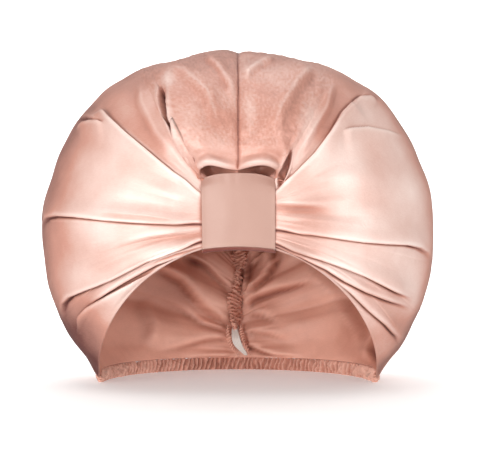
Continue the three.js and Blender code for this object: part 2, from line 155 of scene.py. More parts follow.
def makeLight():
    for name, place, aim, size, watts, color in lamps:
        data = bpy.data.lights.new(name, "AREA")
        data.shape = "SQUARE"
        data.size = size
        data.energy = watts
        data.color = color
        lamp = newObject(name, data)
        lamp.location = place
        lamp.rotation_euler = (Vector(aim) - Vector(place)).to_track_quat("-Z", "Y").to_euler()
    world = bpy.data.worlds.new("studio")
    bpy.context.scene.world = world
    world.use_nodes = True
    background = world.node_tree.nodes["Background"]
    background.inputs["Color"].default_value = (*surround["color"], 1)
    background.inputs["Strength"].default_value = surround["strength"]


makeCamera()
makeFloor()
makeLight()
bpy.context.scene.view_settings.view_transform = "Standard"
print("bonnet: camera, floor and light ready")

# materials

# each look's light, deep and shade colours are the stops of its tone: light where light is painted on the
# cloth, deep in between, and shade where shade is painted deep in a fold
satinLook = {
    "light": (0.87, 0.71, 0.65),
    "deep": (0.56, 0.265, 0.2),
    "shade": (0.12, 0.025, 0.018),
    "roughness": 0.46,
    "sheen": 0.03,
    "crinkle": 0.0004,
}
reverseLook = {
    "light": (0.95, 0.55, 0.43),
    "deep": (0.52, 0.22, 0.155),
    "shade": (0.2, 0.055, 0.035),
    "roughness": 0.55,
    "sheen": 0.15,
    "crinkle": 0.0003,
}
tabLook = {
    "light": (0.445, 0.268, 0.218),
    "deep": (0.35, 0.18, 0.14),
    "shade": (0.16, 0.035, 0.025),
    "roughness": 0.46,
    "sheen": 0.1,
    "crinkle": 0.00006,
}
hemLook = {
    "light": (0.84, 0.5, 0.4),
    "deep": (0.6, 0.29, 0.215),
    "shade": (0.2, 0.065, 0.045),
    "roughness": 0.6,
    "sheen": 0.1,
    "crinkle": 0.0003,
}
# the hem's satin painted lighter, to stand in for the light the casing lacks inside the bonnet
casingLitLook = {
    "light": (0.95, 0.58, 0.46),
    "deep": (0.74, 0.38, 0.285),
    "shade": (0.3, 0.09, 0.06),
    "roughness": 0.6,
    "sheen": 0.1,
    "crinkle": 0.0003,
}
elasticLook = {"light": (0.86, 0.84, 0.80), "deep": (0.70, 0.68, 0.64), "roughness": 0.75}
threadLook = {"light": (0.42, 0.2, 0.14), "deep": (0.34, 0.15, 0.1), "roughness": 0.7}


clothGrain = {
    "drift": 26.0,  # noise scale: the dye drifts slowly, over 3 to 6 cm
    "streaks": 420.0,  # threads, as fine streaks across the cloth
    "stretch": (1.0, 1.0, 7.0),
    "streakShare": 0.3,
    "toneVaries": (-0.14, 0.1),
    "glossVaries": (-0.06, 0.07),
    "dullest": 0.45,  # added to the roughness in the depth of a fold
    "crinkle": 210.0,  # noise scale: crinkle of 3 to 6 mm
    "weave": 2600.0,
    "weaveHeight": 0.00008,
    "sheenRoughness": 0.35,
    "sheenTint": (1.0, 0.86, 0.8, 1),
    "evenTone": 0.9,  # for pieces without a tone of their own
}


def addNode(tree, kind, settings=None, **inputs):
    # an input is a value or another node's output, and a space in its name is written as _
    node = tree.nodes.new(kind)
    for key, value in (settings or {}).items():
        setattr(node, key, value)
    for key, value in inputs.items():
        socket = node.inputs[key.replace("_", " ")]
        if isinstance(value, bpy.types.NodeSocket):
            tree.links.new(value, socket)
        else:
            socket.default_value = value
    return node


def mathNode(tree, operation, a, b=None, clamp=False):
    node = addNode(tree, "ShaderNodeMath", {"operation": operation, "use_clamp": clamp})
    for slot, value in enumerate((a, b)):
        if isinstance(value, bpy.types.NodeSocket):
            tree.links.new(value, node.inputs[slot])
        elif value is not None:
            node.inputs[slot].default_value = value
    return node.outputs[0]


def mapRange(tree, value, fromRange, toRange, kind="LINEAR"):
    node = addNode(tree, "ShaderNodeMapRange", {"interpolation_type": kind}, Value=value)
    for label, (low, high) in (("From", fromRange), ("To", toRange)):
        node.inputs[label + " Min"].default_value = low
        node.inputs[label + " Max"].default_value = high
    return node.outputs["Result"]


def noiseNode(tree, place, scale, detail, roughness=0.5, distortion=0.0):
    sizes = {"Scale": scale, "Detail": detail, "Roughness": roughness, "Distortion": distortion}
    return addNode(tree, "ShaderNodeTexNoise", Vector=place, **sizes).outputs["Fac"]


def makeSatin(name, look, metallic=0.0, ior=1.5, specular=0.5):
    material = bpy.data.materials.new(name)
    material.use_nodes = True
    tree = material.node_tree
    link = tree.links.new
    shader = tree.nodes["Principled BSDF"].inputs
    shader["Metallic"].default_value = metallic
    shader["Specular IOR Level"].default_value = specular
    shader["Sheen Weight"].default_value = look.get("sheen", 0.0)
    shader["Sheen Roughness"].default_value = clothGrain["sheenRoughness"]
    shader["Sheen Tint"].default_value = clothGrain["sheenTint"]
    shader["IOR"].default_value = ior
    place = addNode(tree, "ShaderNodeTexCoord").outputs["Object"]
    stretch = addNode(tree, "ShaderNodeMapping", Vector=place, Scale=clothGrain["stretch"])
    stretched = stretch.outputs["Vector"]
    streaks = noiseNode(tree, stretched, clothGrain["streaks"], 2.0, 0.6)
    blend = addNode(tree, "ShaderNodeMix", {"data_type": "FLOAT"})
    blend.inputs[0].default_value = clothGrain["streakShare"]
    link(noiseNode(tree, place, clothGrain["drift"], 3.0, 0.55), blend.inputs[2])
    link(streaks, blend.inputs[3])
    vary = mapRange(tree, blend.outputs[0], (0.3, 0.7), clothGrain["toneVaries"])
    # tone: 1 where light is painted on the satin, 0.5 where it is painted duskier, 0 where shade is painted
    # deep in a fold
    tone = clothGrain["evenTone"]
    if "shade" in look:
        tone = addNode(tree, "ShaderNodeAttribute", {"attribute_name": "tone"}).outputs["Fac"]
    tone = mathNode(tree, "ADD", vary, tone, clamp=True)
    ramp = addNode(tree, "ShaderNodeValToRGB", Fac=tone)
    stops = ramp.color_ramp.elements
    stops[0].color = (*look.get("shade", look["deep"]), 1)
    stops[1].color = (*look["light"], 1)
    stops.new(0.5).color = (*look["deep"], 1)
    link(ramp.outputs["Color"], shader["Base Color"])
    # gloss varies a little with the lie of the threads, and the depth of a fold is dull
    glossRange = [look["roughness"] + change for change in clothGrain["glossVaries"]]
    gloss = mapRange(tree, streaks, (0.3, 0.7), glossRange)
    dull = mapRange(tree, tone, (0.0, 0.4), (clothGrain["dullest"], 0.0))
    link(mathNode(tree, "ADD", gloss, dull, clamp=True), shader["Roughness"])
    crinkle = noiseNode(tree, place, clothGrain["crinkle"], 3.0, 0.6, 0.8)
    weave = noiseNode(tree, stretched, clothGrain["weave"], 1.0)
    fine = addNode(tree, "ShaderNodeBump", Strength=0.25, Distance=clothGrain["weaveHeight"], Height=weave)
    bump = addNode(
        tree,
        "ShaderNodeBump",
        Strength=0.5,
        Distance=look.get("crinkle", 0.0002),
        Height=crinkle,
        Normal=fine.outputs["Normal"],
    )
    link(bump.outputs["Normal"], shader["Normal"])
    return material


satin = makeSatin("rose satin", satinLook, metallic=0.1, ior=1.6, specular=0.7)
reverse = makeSatin("rose satin reverse", reverseLook, ior=1.6)
tabSatin = makeSatin("rose satin tab", tabLook, ior=1.6)
hemSatin = makeSatin("rose satin gathered", hemLook)
casingLitSatin = makeSatin("rose satin ruched", casingLitLook)
elasticCloth = makeSatin("white elastic", elasticLook)
thread = makeSatin("rose thread", threadLook)
print("bonnet: materials ready")

# the crown's smooth form

tabShape = {
    "half": 26.5,
    "bottom": 104.0,
    "height": 57.0,
    "wall": 1.6,
    "face": 107.8,
    "lean": 3.0,
    "barrel": 2.4,
    "arch": 2.0,
    "inside": 38.0,
    "wrapGap": 0.6,
}
crownShape = {
    "halfWidth": 146.0,
    "height": 252.0,
    "halfHeight": 148.0,
    "squareness": 0.032,
    "depth": 220.0,
    "sideBulge": 7.0,
    "seatPuff": 9.0,
    "wall": 2.0,
    "seamHalf": 0.02,  # half the gap between the two panels
    "archCorner": 1.08,
    "knotUp": 131.0,
    "tuckReach": 0.5,
    "gatherTop": 118.0,
    "hemHeight": 9.0,
}
# the two rolled lobes over the tab
lipShape = {
    "share": 0.2,  # how far out they reach, as a share of the panel
    "arch": 4.8,
    "overhang": 6.5,
    "hollow": 20.0,
    "clear": 2.0,
    "roof": 0.6,
    "sideBias": (1.4, 2.2),  # where the right and the left lobe are highest
    "bias": 1.0,  # set to one of those two while a panel is made
}
rimTopDepth = 0.018 * crownShape["depth"]
cornerDepth = -0.1 * crownShape["depth"]
hemBack = 0.418 * crownShape["depth"]
gatherBack = 0.51 * crownShape["depth"]
hemTop = crownShape["hemHeight"] + 0.4
crownCentre = crownShape["height"] - crownShape["halfHeight"]
tabTop = tabShape["bottom"] + tabShape["height"]
wrapDepth = crownShape["wall"] + 2.5 * tabShape["wrapGap"]
lipShare = lipShape["share"]
sideRoot = tabShape["half"] - 1.5
cornerRoot = tabShape["half"] + 1.2


def outlineAt(angle):
    full = 1 + crownShape["squareness"] * np.sin(2 * angle)
    return (
        crownShape["halfWidth"] * full * np.sin(angle),
        crownCentre + crownShape["halfHeight"] * full * np.cos(angle),
    )


def findCornerAngle():
    low, high = math.pi / 2, math.pi
    for _ in range(40):
        middle = (low + high) / 2
        if outlineAt(middle)[1] > hemTop:
            low = middle
        else:
            high = middle
    return low


cornerAngle = findCornerAngle()
cornerOut = float(outlineAt(cornerAngle)[0])


def tabFaceAt(out, up):
    height = np.clip(up - tabShape["bottom"], 0, tabShape["height"] * 1.2)
    lean = tabShape["lean"] * height / tabShape["height"]
    return lean - tabShape["face"] + tabShape["barrel"] * (out / tabShape["half"]) ** 2


def behindTab(out, up):
    slack = ease((up - tabShape["bottom"] - tabShape["inside"]) / 10)
    return tabFaceAt(out, up) + tabShape["wall"] + tabShape["wrapGap"] + slack


def rootHeight(folds, share):
    low = tabShape["bottom"] + tabShape["wall"] + 1.2
    rows = [(lipShare, 1.0)]
    rows += [(fold["at"], fold["root"]) for fold in folds if fold["at"] > lipShare and fold["root"]]
    rows.append((1.0, 0.0))
    places, heights = zip(*rows)
    return mix(low, tabTop, np.interp(share, places, heights))


def lipAt(share):
    inside = np.clip(share / lipShare, 0, 1) ** lipShape["bias"]
    return np.sin(np.pi * inside) ** 0.7 * (share < lipShare)


def rootPoint(folds, share):
    lip = lipAt(share)
    up = rootHeight(folds, share)
    over = 1 - ease((share - lipShare) / 0.03)
    around = 1 - ease((share - lipShare - 0.03) / 0.03)
    top = share < lipShare
    outTop = cornerRoot * share / lipShare
    x = np.where(top, outTop, mix(sideRoot, cornerRoot, around))
    y = np.where(
        top,
        tabFaceAt(outTop, tabTop) - tabShape["wall"] - lipShape["overhang"] * lip,
        mix(behindTab(tabShape["half"], up), tabFaceAt(tabShape["half"], up) - tabShape["wall"], over),
    )
    z = np.where(top, tabTop + lipShape["clear"] + lipShape["arch"] * lip, up + lipShape["clear"] * over)
    return x, y, z


def tuckPoint(folds, share, along):
    rx, ry, rz = rootPoint(folds, share)
    lip = lipAt(share)
    top = behindTab(rx, tabTop)
    side = ease((share - lipShare) / 0.03)
    reach = crownShape["tuckReach"]

    def towardsKnot(part):
        across = mix(rx, np.minimum(rx, sideRoot), min(1.0, 2 * part / reach))
        out = across * (1 - part)
        up = mix(np.minimum(rz, tabTop), crownShape["knotUp"], part)
        return out, behindTab(out, up), up

    low = towardsKnot(reach)
    over = [
        (rx, ry, rz),
        (rx, mix(ry, top, 0.55), tabTop + lipShape["clear"] + (lipShape["arch"] + lipShape["roof"]) * lip),
        (rx, top + lipShape["hollow"] * lip, tabTop + lipShape["clear"] - 0.4 + lipShape["arch"] * lip),
        (
            mix(rx, low[0], 0.4),
            top + 0.7 * lipShape["hollow"] * lip,
            np.full_like(rx, tabTop - lipShape["clear"] * 1.6),
        ),
        low,
    ]
    around = [(rx, ry, rz), *(towardsKnot(reach * part) for part in (0.14, 0.38, 0.68)), low]
    place = np.clip(along, 0, 1) * 4
    index = np.minimum(3, np.floor(place)).astype(int)
    part = place - index
    result = []
    for axis in range(3):
        overRows = np.stack([np.broadcast_to(row[axis], share.shape) for row in over])
        aroundRows = np.stack([np.broadcast_to(row[axis], share.shape) for row in around])
        rows = mix(overRows, aroundRows, side)
        before = np.take_along_axis(rows, index[None], 0)[0]
        after = np.take_along_axis(rows, index[None] + 1, 0)[0]
        result.append(mix(before, after, part))
    return np.stack(result, -1)


def frontPoint(folds, share, along):
    rx, ry, rz = rootPoint(folds, share)
    rimOut, rimUp = outlineAt(share * cornerAngle)
    rimDepth = mix(rimTopDepth, cornerDepth, share * share)
    turn = along * math.pi / 2
    sweep = ease((share - 0.55) / 0.45) ** 1.3
    roundness = mix(1.0, 1.3, sweep)
    reach = np.sin(turn) ** roundness
    drop = 1 - np.maximum(np.cos(turn), 0) ** roundness
    start = [float(v) for v in rootPoint(folds, np.array(1.0))]
    corner = crownShape["archCorner"]
    first = math.asin((start[0] / cornerOut) ** (1 / corner))
    turned = mix(first, math.pi / 2, reach)
    rise = (start[2] - hemTop) / math.cos(first) ** corner
    archOut = cornerOut * np.sin(turned) ** corner
    archUp = hemTop + rise * np.maximum(np.cos(turned), 0) ** corner
    sweepOut = archOut - mix(start[0], cornerOut, reach)
    sweepUp = archUp - mix(start[2], hemTop, reach)
    side = np.sin(np.pi * np.clip((share - 0.1) / 0.9, 0, 1))
    puff = crownShape["sideBulge"] * side * np.clip(np.sin(np.pi * reach**0.9), 0, 1) ** 1.3
    return np.stack(
        [
            mix(rx, rimOut, reach) + sweep * sweepOut,
            mix(ry, rimDepth, drop) - puff,
            mix(rz, rimUp, reach) + sweep * sweepUp,
        ],
        -1,
    )


def gatherDepth(up):
    return mix(hemBack, gatherBack, ease((up - hemTop) / (crownShape["gatherTop"] - hemTop)) ** 0.8)


def backPoint(share, along):
    rimOut, rimUp = outlineAt(share * cornerAngle)
    rimDepth = mix(rimTopDepth, cornerDepth, share * share)
    endUp = mix(crownShape["gatherTop"], hemTop, share)
    turn = along * math.pi / 2
    inward = 1 - np.cos(turn)
    swell = crownShape["seatPuff"] * np.sin(np.pi * share) * np.sin(np.pi * along) ** 2
    return np.stack(
        [
            mix(rimOut, 0, inward),
            mix(rimDepth, gatherDepth(endUp), np.sin(turn)) + swell,
            mix(rimUp, endUp, inward),
        ],
        -1,
    )


def crownForm(folds, share, run):
    share = np.clip(share, 0, 1)
    form = np.where((run <= 1)[..., None], frontPoint(folds, share, np.clip(run, 0, 1)), 0)
    form = np.where((run > 1)[..., None], backPoint(share, np.clip(run - 1, 0, 1)), form)
    return np.where((run < 0)[..., None], tuckPoint(folds, share, np.clip(-run, 0, 1)), form)


# the crown's folds

# at: place across the panel, 0 at the seam and 1 at the front edge; root: where on the tab's
# edge it starts; lap: 1 if the cloth above laps over, -1 if the cloth below does; lift: mm;
# rise, fall: widths of the slopes; under: how far the ridge overhangs; start, end: its run,
# 0 at the tab, 1 at the outline, 2 at the back gather; sway: how much it bends on its way


def fanFold(at, lift, rise, fall, end, start=0.0, lap=1, under=0.0, sway=0.0, root=None):
    sizes = dict(at=at, lift=lift, rise=rise, fall=fall, root=root)
    return dict(sizes, start=start, end=end, lap=lap, under=under, sway=sway)


rightFolds = [
    fanFold(0.05, 1.6, 0.03, 0.03, start=0.25, end=1.1),
    fanFold(0.1, 2.2, 0.05, 0.04, start=0.35, end=1.3, lap=-1, sway=0.004),
    fanFold(0.148, 2.6, 0.03, 0.018, start=0.03, end=0.8, lap=-1, under=0.004, sway=0.006),
    fanFold(0.215, 5.0, 0.03, 0.014, start=0.02, end=0.62, root=0.95, lap=-1, under=0.012),
    fanFold(0.245, 1.8, 0.016, 0.01, start=0.02, end=0.5, lap=-1, under=0.003),
    fanFold(0.303, 6.6, 0.08, 0.016, start=0.02, end=1.12, root=0.7, lap=-1, under=0.014, sway=0.006),
    fanFold(0.36, 1.8, 0.03, 0.02, start=0.02, end=0.6, lap=-1),
    fanFold(0.6, 2.6, 0.07, 0.035, end=0.75, root=0.57),
    fanFold(0.655, 1.6, 0.03, 0.02, end=0.6),
    fanFold(0.72, 6.2, 0.07, 0.014, end=1.35, root=0.29, under=0.012, sway=-0.004),
    fanFold(0.77, 2.0, 0.02, 0.012, end=0.7, under=0.003),
    fanFold(0.83, 6.4, 0.055, 0.013, end=1.15, root=0.155, under=0.012, sway=0.006),
    fanFold(0.872, 2.2, 0.018, 0.01, end=0.8, under=0.004),
    fanFold(0.915, 4.8, 0.03, 0.012, end=1.04, root=0.075, under=0.01, sway=0.004),
]
leftFolds = [
    fanFold(0.055, 1.4, 0.03, 0.03, start=0.3, end=1.1),
    fanFold(0.1, 2.4, 0.05, 0.04, start=0.3, end=1.3, lap=-1, sway=-0.004),
    fanFold(0.16, 1.8, 0.02, 0.014, start=0.03, end=0.6, lap=-1, under=0.003, sway=0.004),
    fanFold(0.212, 5.6, 0.035, 0.014, start=0.03, end=0.9, root=0.96, lap=-1, under=0.013, sway=-0.006),
    fanFold(0.26, 1.6, 0.018, 0.01, start=0.02, end=0.45, lap=-1, under=0.002),
    fanFold(0.345, 6.6, 0.08, 0.016, start=0.02, end=1.1, root=0.76, lap=-1, under=0.014, sway=0.008),
    fanFold(0.41, 1.6, 0.03, 0.02, start=0.02, end=0.55, lap=-1),
    fanFold(0.56, 1.8, 0.05, 0.03, end=0.6),
    fanFold(0.63, 6.6, 0.08, 0.014, end=1.35, root=0.38, under=0.012, sway=-0.006),
    fanFold(0.69, 1.8, 0.022, 0.012, end=0.6, under=0.002),
    fanFold(0.735, 3.4, 0.04, 0.016, end=0.7, root=0.28, under=0.004),
    fanFold(0.79, 2.0, 0.02, 0.01, end=0.6, under=0.003),
    fanFold(0.85, 6.8, 0.05, 0.013, end=1.2, root=0.14, under=0.012, sway=0.004),
    fanFold(0.885, 2.2, 0.014, 0.008, end=0.75, under=0.003),
    fanFold(0.918, 5.0, 0.024, 0.012, end=1.04, root=0.075, under=0.01, sway=0.002),
]
backLobes = [
    fanFold(0.1, 6.0, 0.08, 0.04, start=1.3, end=1.995, under=0.006),
    fanFold(0.25, 8.4, 0.09, 0.04, start=1.2, end=1.995, under=0.01, sway=0.008),
    fanFold(0.42, 7.8, 0.1, 0.04, start=1.25, end=1.995, lap=-1, under=0.01, sway=-0.008),
    fanFold(0.58, 8.4, 0.1, 0.04, start=1.2, end=1.995, under=0.01, sway=0.008),
    fanFold(0.77, 7.2, 0.09, 0.04, start=1.3, end=1.995, lap=-1, under=0.008),
]
# the front's folds and creases, drawn by their points in the photo. side: 1 lifts the left of the
# line, as it is drawn from its first point to its last, -1 the right. lift, over (how far the lifted
# edge hangs over) and groove are in mm; rise and fall, the widths of its two slopes, in pixels;
# opens and closes are the shares of the line over which it begins and ends; dark is how much shade is
# painted into its trench


def drawnCrease(line, side, lift, rise, fall, over=0.0, groove=0.0, dark=0.0, opens=0.15, closes=0.3):
    sizes = dict(line=line, side=side, lift=lift, rise=rise, fall=fall, over=over)
    return dict(sizes, groove=groove, dark=dark, opens=opens, closes=closes)


rightCreases = [
    drawnCrease(
        [(276, 203), (296, 204), (318, 205), (338, 209)],
        side=1, lift=2.2, rise=11, fall=5, groove=1.2, dark=0.42, opens=0.02, closes=0.5,
    ),
    drawnCrease(
        [(276, 217), (305, 218), (350, 222)],
        side=1, lift=0.7, rise=3, fall=3, opens=0.02, closes=0.6,
    ),
    drawnCrease(
        [(276, 229), (310, 232), (336, 236), (360, 240), (384, 242), (404, 243), (416, 246), (424, 252),
         (428, 262)],
        side=1, lift=4.6, rise=15, fall=1.5, over=1.6, groove=1.2, dark=0.9, opens=0.01, closes=0.15,
    ),
    drawnCrease(
        [(276, 243), (300, 249), (320, 255), (344, 264), (364, 273), (384, 284), (400, 293), (411, 299)],
        side=1, lift=4.8, rise=15, fall=1.5, over=1.6, groove=1.2, dark=0.9, opens=0.01, closes=0.15,
    ),
    drawnCrease(
        [(276, 246), (300, 254), (326, 266), (344, 278), (364, 289), (380, 296), (396, 302), (409, 308)],
        side=1, lift=3.6, rise=7, fall=1.7, over=1.2, groove=1.8, dark=0.95, opens=0.01, closes=0.15,
    ),
    drawnCrease(
        [(276, 249), (306, 261), (330, 274), (350, 290), (368, 308), (384, 322), (394, 334), (398, 346)],
        side=1, lift=3.6, rise=8, fall=1.5, over=1.6, groove=1.2, dark=0.9, opens=0.01, closes=0.12,
    ),
    drawnCrease(
        [(277, 251), (304, 264), (326, 278), (346, 296)],
        side=1, lift=1.4, rise=4, fall=1.6, groove=0.8, dark=0.6, opens=0.01, closes=0.3,
    ),
    # the long edge that parts the top, painted dusky, from the side, painted bright, and the small folds at
    # its end
    drawnCrease(
        [(274, 193), (294, 177), (315, 156), (331, 134), (341, 116), (354, 103)],
        side=-1, lift=4.2, rise=15, fall=1.7, over=1.4, groove=0.8, dark=0.3, opens=0.01, closes=0.06,
    ),
    drawnCrease(
        [(350, 106), (357, 101), (366, 101), (375, 107)],
        side=-1, lift=2.4, rise=6, fall=1.8, over=0.8, groove=0.8, dark=0.6,
    ),
    drawnCrease(
        [(340, 133), (354, 130), (367, 129), (386, 134), (402, 139)],
        side=-1, lift=2.4, rise=16, fall=1.5, over=0.8, groove=0.3, dark=0.2,
    ),
    drawnCrease(
        [(276, 180), (280, 166), (286, 150), (292, 138)],
        side=1, lift=2.4, rise=7, fall=5, opens=0.2, closes=0.4,
    ),
    # soft folds of the top
    drawnCrease(
        [(276, 55), (262, 62), (250, 71), (246, 86)],
        side=-1, lift=2.6, rise=8, fall=4, groove=0.4, closes=0.4,
    ),
    drawnCrease(
        [(314, 66), (296, 84), (282, 108), (272, 138)],
        side=-1, lift=2.8, rise=13, fall=9, groove=0.5, dark=0.1,
    ),
    drawnCrease(
        [(332, 84), (326, 108), (308, 138), (292, 168)],
        side=-1, lift=2.4, rise=10, fall=7, groove=0.5, dark=0.12,
    ),
]
leftCreases = [
    drawnCrease(
        [(200, 223), (164, 222), (136, 221), (107, 219), (80, 216), (62, 215), (53, 217), (48, 222),
         (45, 233)],
        side=-1, lift=3.8, rise=13, fall=1.5, over=1.4, groove=1.4, dark=0.9, opens=0.01, closes=0.12,
    ),
    drawnCrease(
        [(180, 219), (150, 215), (112, 212), (90, 211)],
        side=-1, lift=1.2, rise=6, fall=3, groove=0.4, dark=0.2,
    ),
    drawnCrease(
        [(200, 230), (173, 232), (151, 235), (129, 240), (104, 248)],
        side=-1, lift=1.6, rise=7, fall=5, groove=0.9, dark=0.32, opens=0.01, closes=0.5,
    ),
    drawnCrease(
        [(200, 241), (173, 248), (147, 257), (129, 267), (111, 277), (98, 283), (84, 289), (73, 294),
         (67, 301), (66, 309), (69, 320)],
        side=-1, lift=5.4, rise=17, fall=1.5, over=1.8, groove=1.4, dark=0.92, opens=0.01, closes=0.15,
    ),
    drawnCrease(
        [(200, 251), (173, 257), (156, 263), (138, 273), (124, 281), (109, 290), (96, 299), (87, 307)],
        side=-1, lift=4.0, rise=8, fall=1.8, over=1.2, groove=2.0, dark=0.95, opens=0.01, closes=0.15,
    ),
    drawnCrease(
        [(199, 247), (176, 252), (158, 258), (140, 267)],
        side=-1, lift=1.2, rise=4, fall=1.6, groove=0.8, dark=0.55, opens=0.01, closes=0.4,
    ),
    drawnCrease(
        [(197, 253), (174, 263), (151, 274), (113, 294), (90, 307), (82, 316), (79, 336)],
        side=1, lift=3.6, rise=11, fall=1.5, over=1.4, groove=0.8, dark=0.6, opens=0.03, closes=0.15,
    ),
    # the long edge, and the small folds at its end
    drawnCrease(
        [(198, 192), (172, 174), (145, 151), (127, 136), (111, 121), (102, 110)],
        side=1, lift=4.2, rise=15, fall=1.7, over=1.4, groove=0.8, dark=0.3, opens=0.01, closes=0.06,
    ),
    drawnCrease(
        [(109, 128), (98, 126), (88, 126), (76, 133)],
        side=1, lift=2.6, rise=14, fall=1.5, over=1.0, groove=0.7, dark=0.45,
    ),
    drawnCrease(
        [(80, 121), (90, 119), (97, 121), (103, 127)],
        side=1, lift=1.6, rise=5, fall=1.8, over=0.5, groove=0.8, dark=0.55,
    ),
    # the pinched pleat
    drawnCrease(
        [(196, 171), (184, 155), (172, 132), (162, 106), (157, 78)],
        side=1, lift=2.4, rise=5, fall=2.4, over=0.3, groove=0.8, dark=0.35, opens=0.03, closes=0.2,
    ),
    drawnCrease(
        [(198, 171), (188, 158), (180, 142), (173, 118), (168, 92), (166, 76)],
        side=-1, lift=3.4, rise=9, fall=2.6, over=0.5, groove=0.8, dark=0.5, opens=0.04, closes=0.3,
    ),
    # soft folds of the top
    drawnCrease(
        [(203, 58), (216, 66), (229, 84), (234, 104)],
        side=1, lift=2.6, rise=8, fall=4, groove=0.4, closes=0.4,
    ),
    drawnCrease(
        [(166, 70), (184, 72), (206, 92), (218, 128)],
        side=1, lift=2.6, rise=12, fall=9, groove=0.4,
    ),
    drawnCrease(
        [(140, 84), (142, 104), (156, 132), (178, 160)],
        side=1, lift=2.0, rise=10, fall=7, groove=0.5, dark=0.12,
    ),
]
# narrow openings in the cloth above the tab: half their width in pixels, depth and lip in mm.
# lift only says how close the mesh's columns stand there, and dark is how much shade is painted inside
rightSlots = [
    {
        "line": [(279, 187), (282, 175), (286, 163), (291, 149)],
        "half": 4.0,
        "bias": 0.9,
        "depth": 5.0,
        "lip": 2.2,
        "dark": 0.52,
        "lift": 6.0,
    },
]
leftSlots = [
    {
        "line": [(186, 157), (177, 139), (170, 118), (165, 102), (161, 86)],
        "half": 3.0,
        "bias": 1.35,
        "depth": 4.5,
        "lip": 1.6,
        "dark": 0.85,
        "lift": 6.0,
    },
]
# patches where the satin is crinkled and a highlight is painted on it: place and half sizes in pixels, and
# strength
shinePatches = [
    (190, 118, 15, 30, 0.12),
    (169, 78, 6, 10, 0.3),
    (309, 129, 11, 30, 0.26),
    (250, 112, 6, 26, 0.14),
    (184, 158, 14, 16, 0.06),
]
# painted light and painted shade on the inner layer, placed in the same way
innerLightAndShadePatches = [
    (208, 292, 16, 20, 0.22),
    (192, 264, 8, 8, -0.3),
    (170, 296, 15, 15, -0.12),
    (160, 335, 26, 14, 0.06),
    (352, 335, 17, 30, -0.24),
    (300, 300, 26, 14, 0.05),
    (257, 262, 7, 10, -0.12),
]
# creases of the inner layer, seen through the face opening and drawn in the same way as the front's
rightInnerCreases = [
    drawnCrease(
        [(249, 262), (247, 276), (250, 292)],
        side=-1, lift=3.0, rise=6, fall=4, dark=0.9, opens=0.2, closes=0.2,
    ),
    drawnCrease(
        [(246, 306), (256, 297), (275, 290), (300, 283), (326, 281)],
        side=1, lift=7.5, rise=16, fall=4.5, groove=1.0, dark=0.6, opens=0.05, closes=0.6,
    ),
    drawnCrease(
        [(267, 250), (274, 261), (268, 276), (249, 294)],
        side=-1, lift=9.5, rise=14, fall=4.5, groove=1.0, dark=0.6, opens=0.05, closes=0.1,
    ),
    drawnCrease(
        [(248, 311), (262, 313), (276, 319), (284, 330)],
        side=1, lift=3.5, rise=10, fall=5, dark=0.3, opens=0.05, closes=0.6,
    ),
    drawnCrease(
        [(246, 343), (264, 351), (284, 358), (306, 366)],
        side=1, lift=4.5, rise=9, fall=3.5, dark=0.6, opens=0.05, closes=0.5,
    ),
    drawnCrease([(382, 330), (373, 348), (368, 366)], side=-1, lift=4.0, rise=9, fall=7, dark=0.75),
    drawnCrease(
        [(300, 262), (330, 290), (356, 330), (366, 366)],
        side=-1, lift=3.0, rise=18, fall=12, dark=0.25,
    ),
    drawnCrease(
        [(250, 330), (272, 333), (296, 342)],
        side=1, lift=2.4, rise=7, fall=4, dark=0.25, opens=0.05, closes=0.6,
    ),
]
leftInnerCreases = [
    drawnCrease(
        [(150, 262), (180, 279), (202, 304), (222, 319), (233, 322)],
        side=1, lift=11.0, rise=26, fall=7.0, groove=0.4, dark=0.3, opens=0.2, closes=0.08,
    ),
    drawnCrease(
        [(182, 254), (204, 263), (222, 281), (233, 293)],
        side=1, lift=6.5, rise=10, fall=5, dark=0.5, opens=0.1, closes=0.08,
    ),
    drawnCrease(
        [(226, 337), (204, 339), (178, 346), (150, 350)],
        side=-1, lift=3.5, rise=10, fall=4, dark=0.35, opens=0.05, closes=0.6,
    ),
    drawnCrease(
        [(229, 355), (206, 363), (186, 367)],
        side=-1, lift=4.0, rise=8, fall=3, dark=0.5, opens=0.05, closes=0.5,
    ),
    drawnCrease(
        [(225, 329), (203, 323), (183, 309), (166, 300)],
        side=-1, lift=3.5, rise=9, fall=4, dark=0.35, opens=0.05, closes=0.5,
    ),
    drawnCrease([(140, 300), (152, 325), (150, 352)], side=1, lift=3.0, rise=12, fall=7, dark=0.2),
]
# soft lobes of the inner layer beside the back casing: at is 0 at the casing's top, 1 at the hem
rightInner = [
    dict(at=0.2, height=6.0, rise=0.1, fall=0.07),
    dict(at=0.36, height=13.0, rise=0.07, fall=0.07),
    dict(at=0.6, height=8.5, rise=0.09, fall=0.13),
    dict(at=0.84, height=6.0, rise=0.07, fall=0.09),
]
leftInner = [
    dict(at=0.18, height=6.0, rise=0.1, fall=0.06),
    dict(at=0.43, height=14.0, rise=0.17, fall=0.08),
    dict(at=0.66, height=6.5, rise=0.07, fall=0.09),
    dict(at=0.87, height=6.5, rise=0.09, fall=0.08),
]
wrinkleShape = {
    "underFolds": 0.08,  # how much of the fan's folds shows under the drawn ones
    "gather": 0.28,  # mm, fine pleats that fan out of the tab
    "backGather": 1.2,  # mm, and out of the back gather
    "dents": 2.0,  # mm, soft unevenness of the puffed cloth
    "turnPuff": 3.2,  # mm
    "lumps": 3.0,  # mm, uneven outline at the top
    "creases": 0.5,  # mm, small creases on the top panel
    "seamDip": 1.1,  # mm, how far the seam sinks
    "seamPucker": 0.5,
    "roll": 3.0,  # mm, fullness of the two rolled lobes
    "innerLobes": 0.55,  # how much of the soft lobes shows inside
    "innerFolds": 1.4,  # and of the drawn folds
}
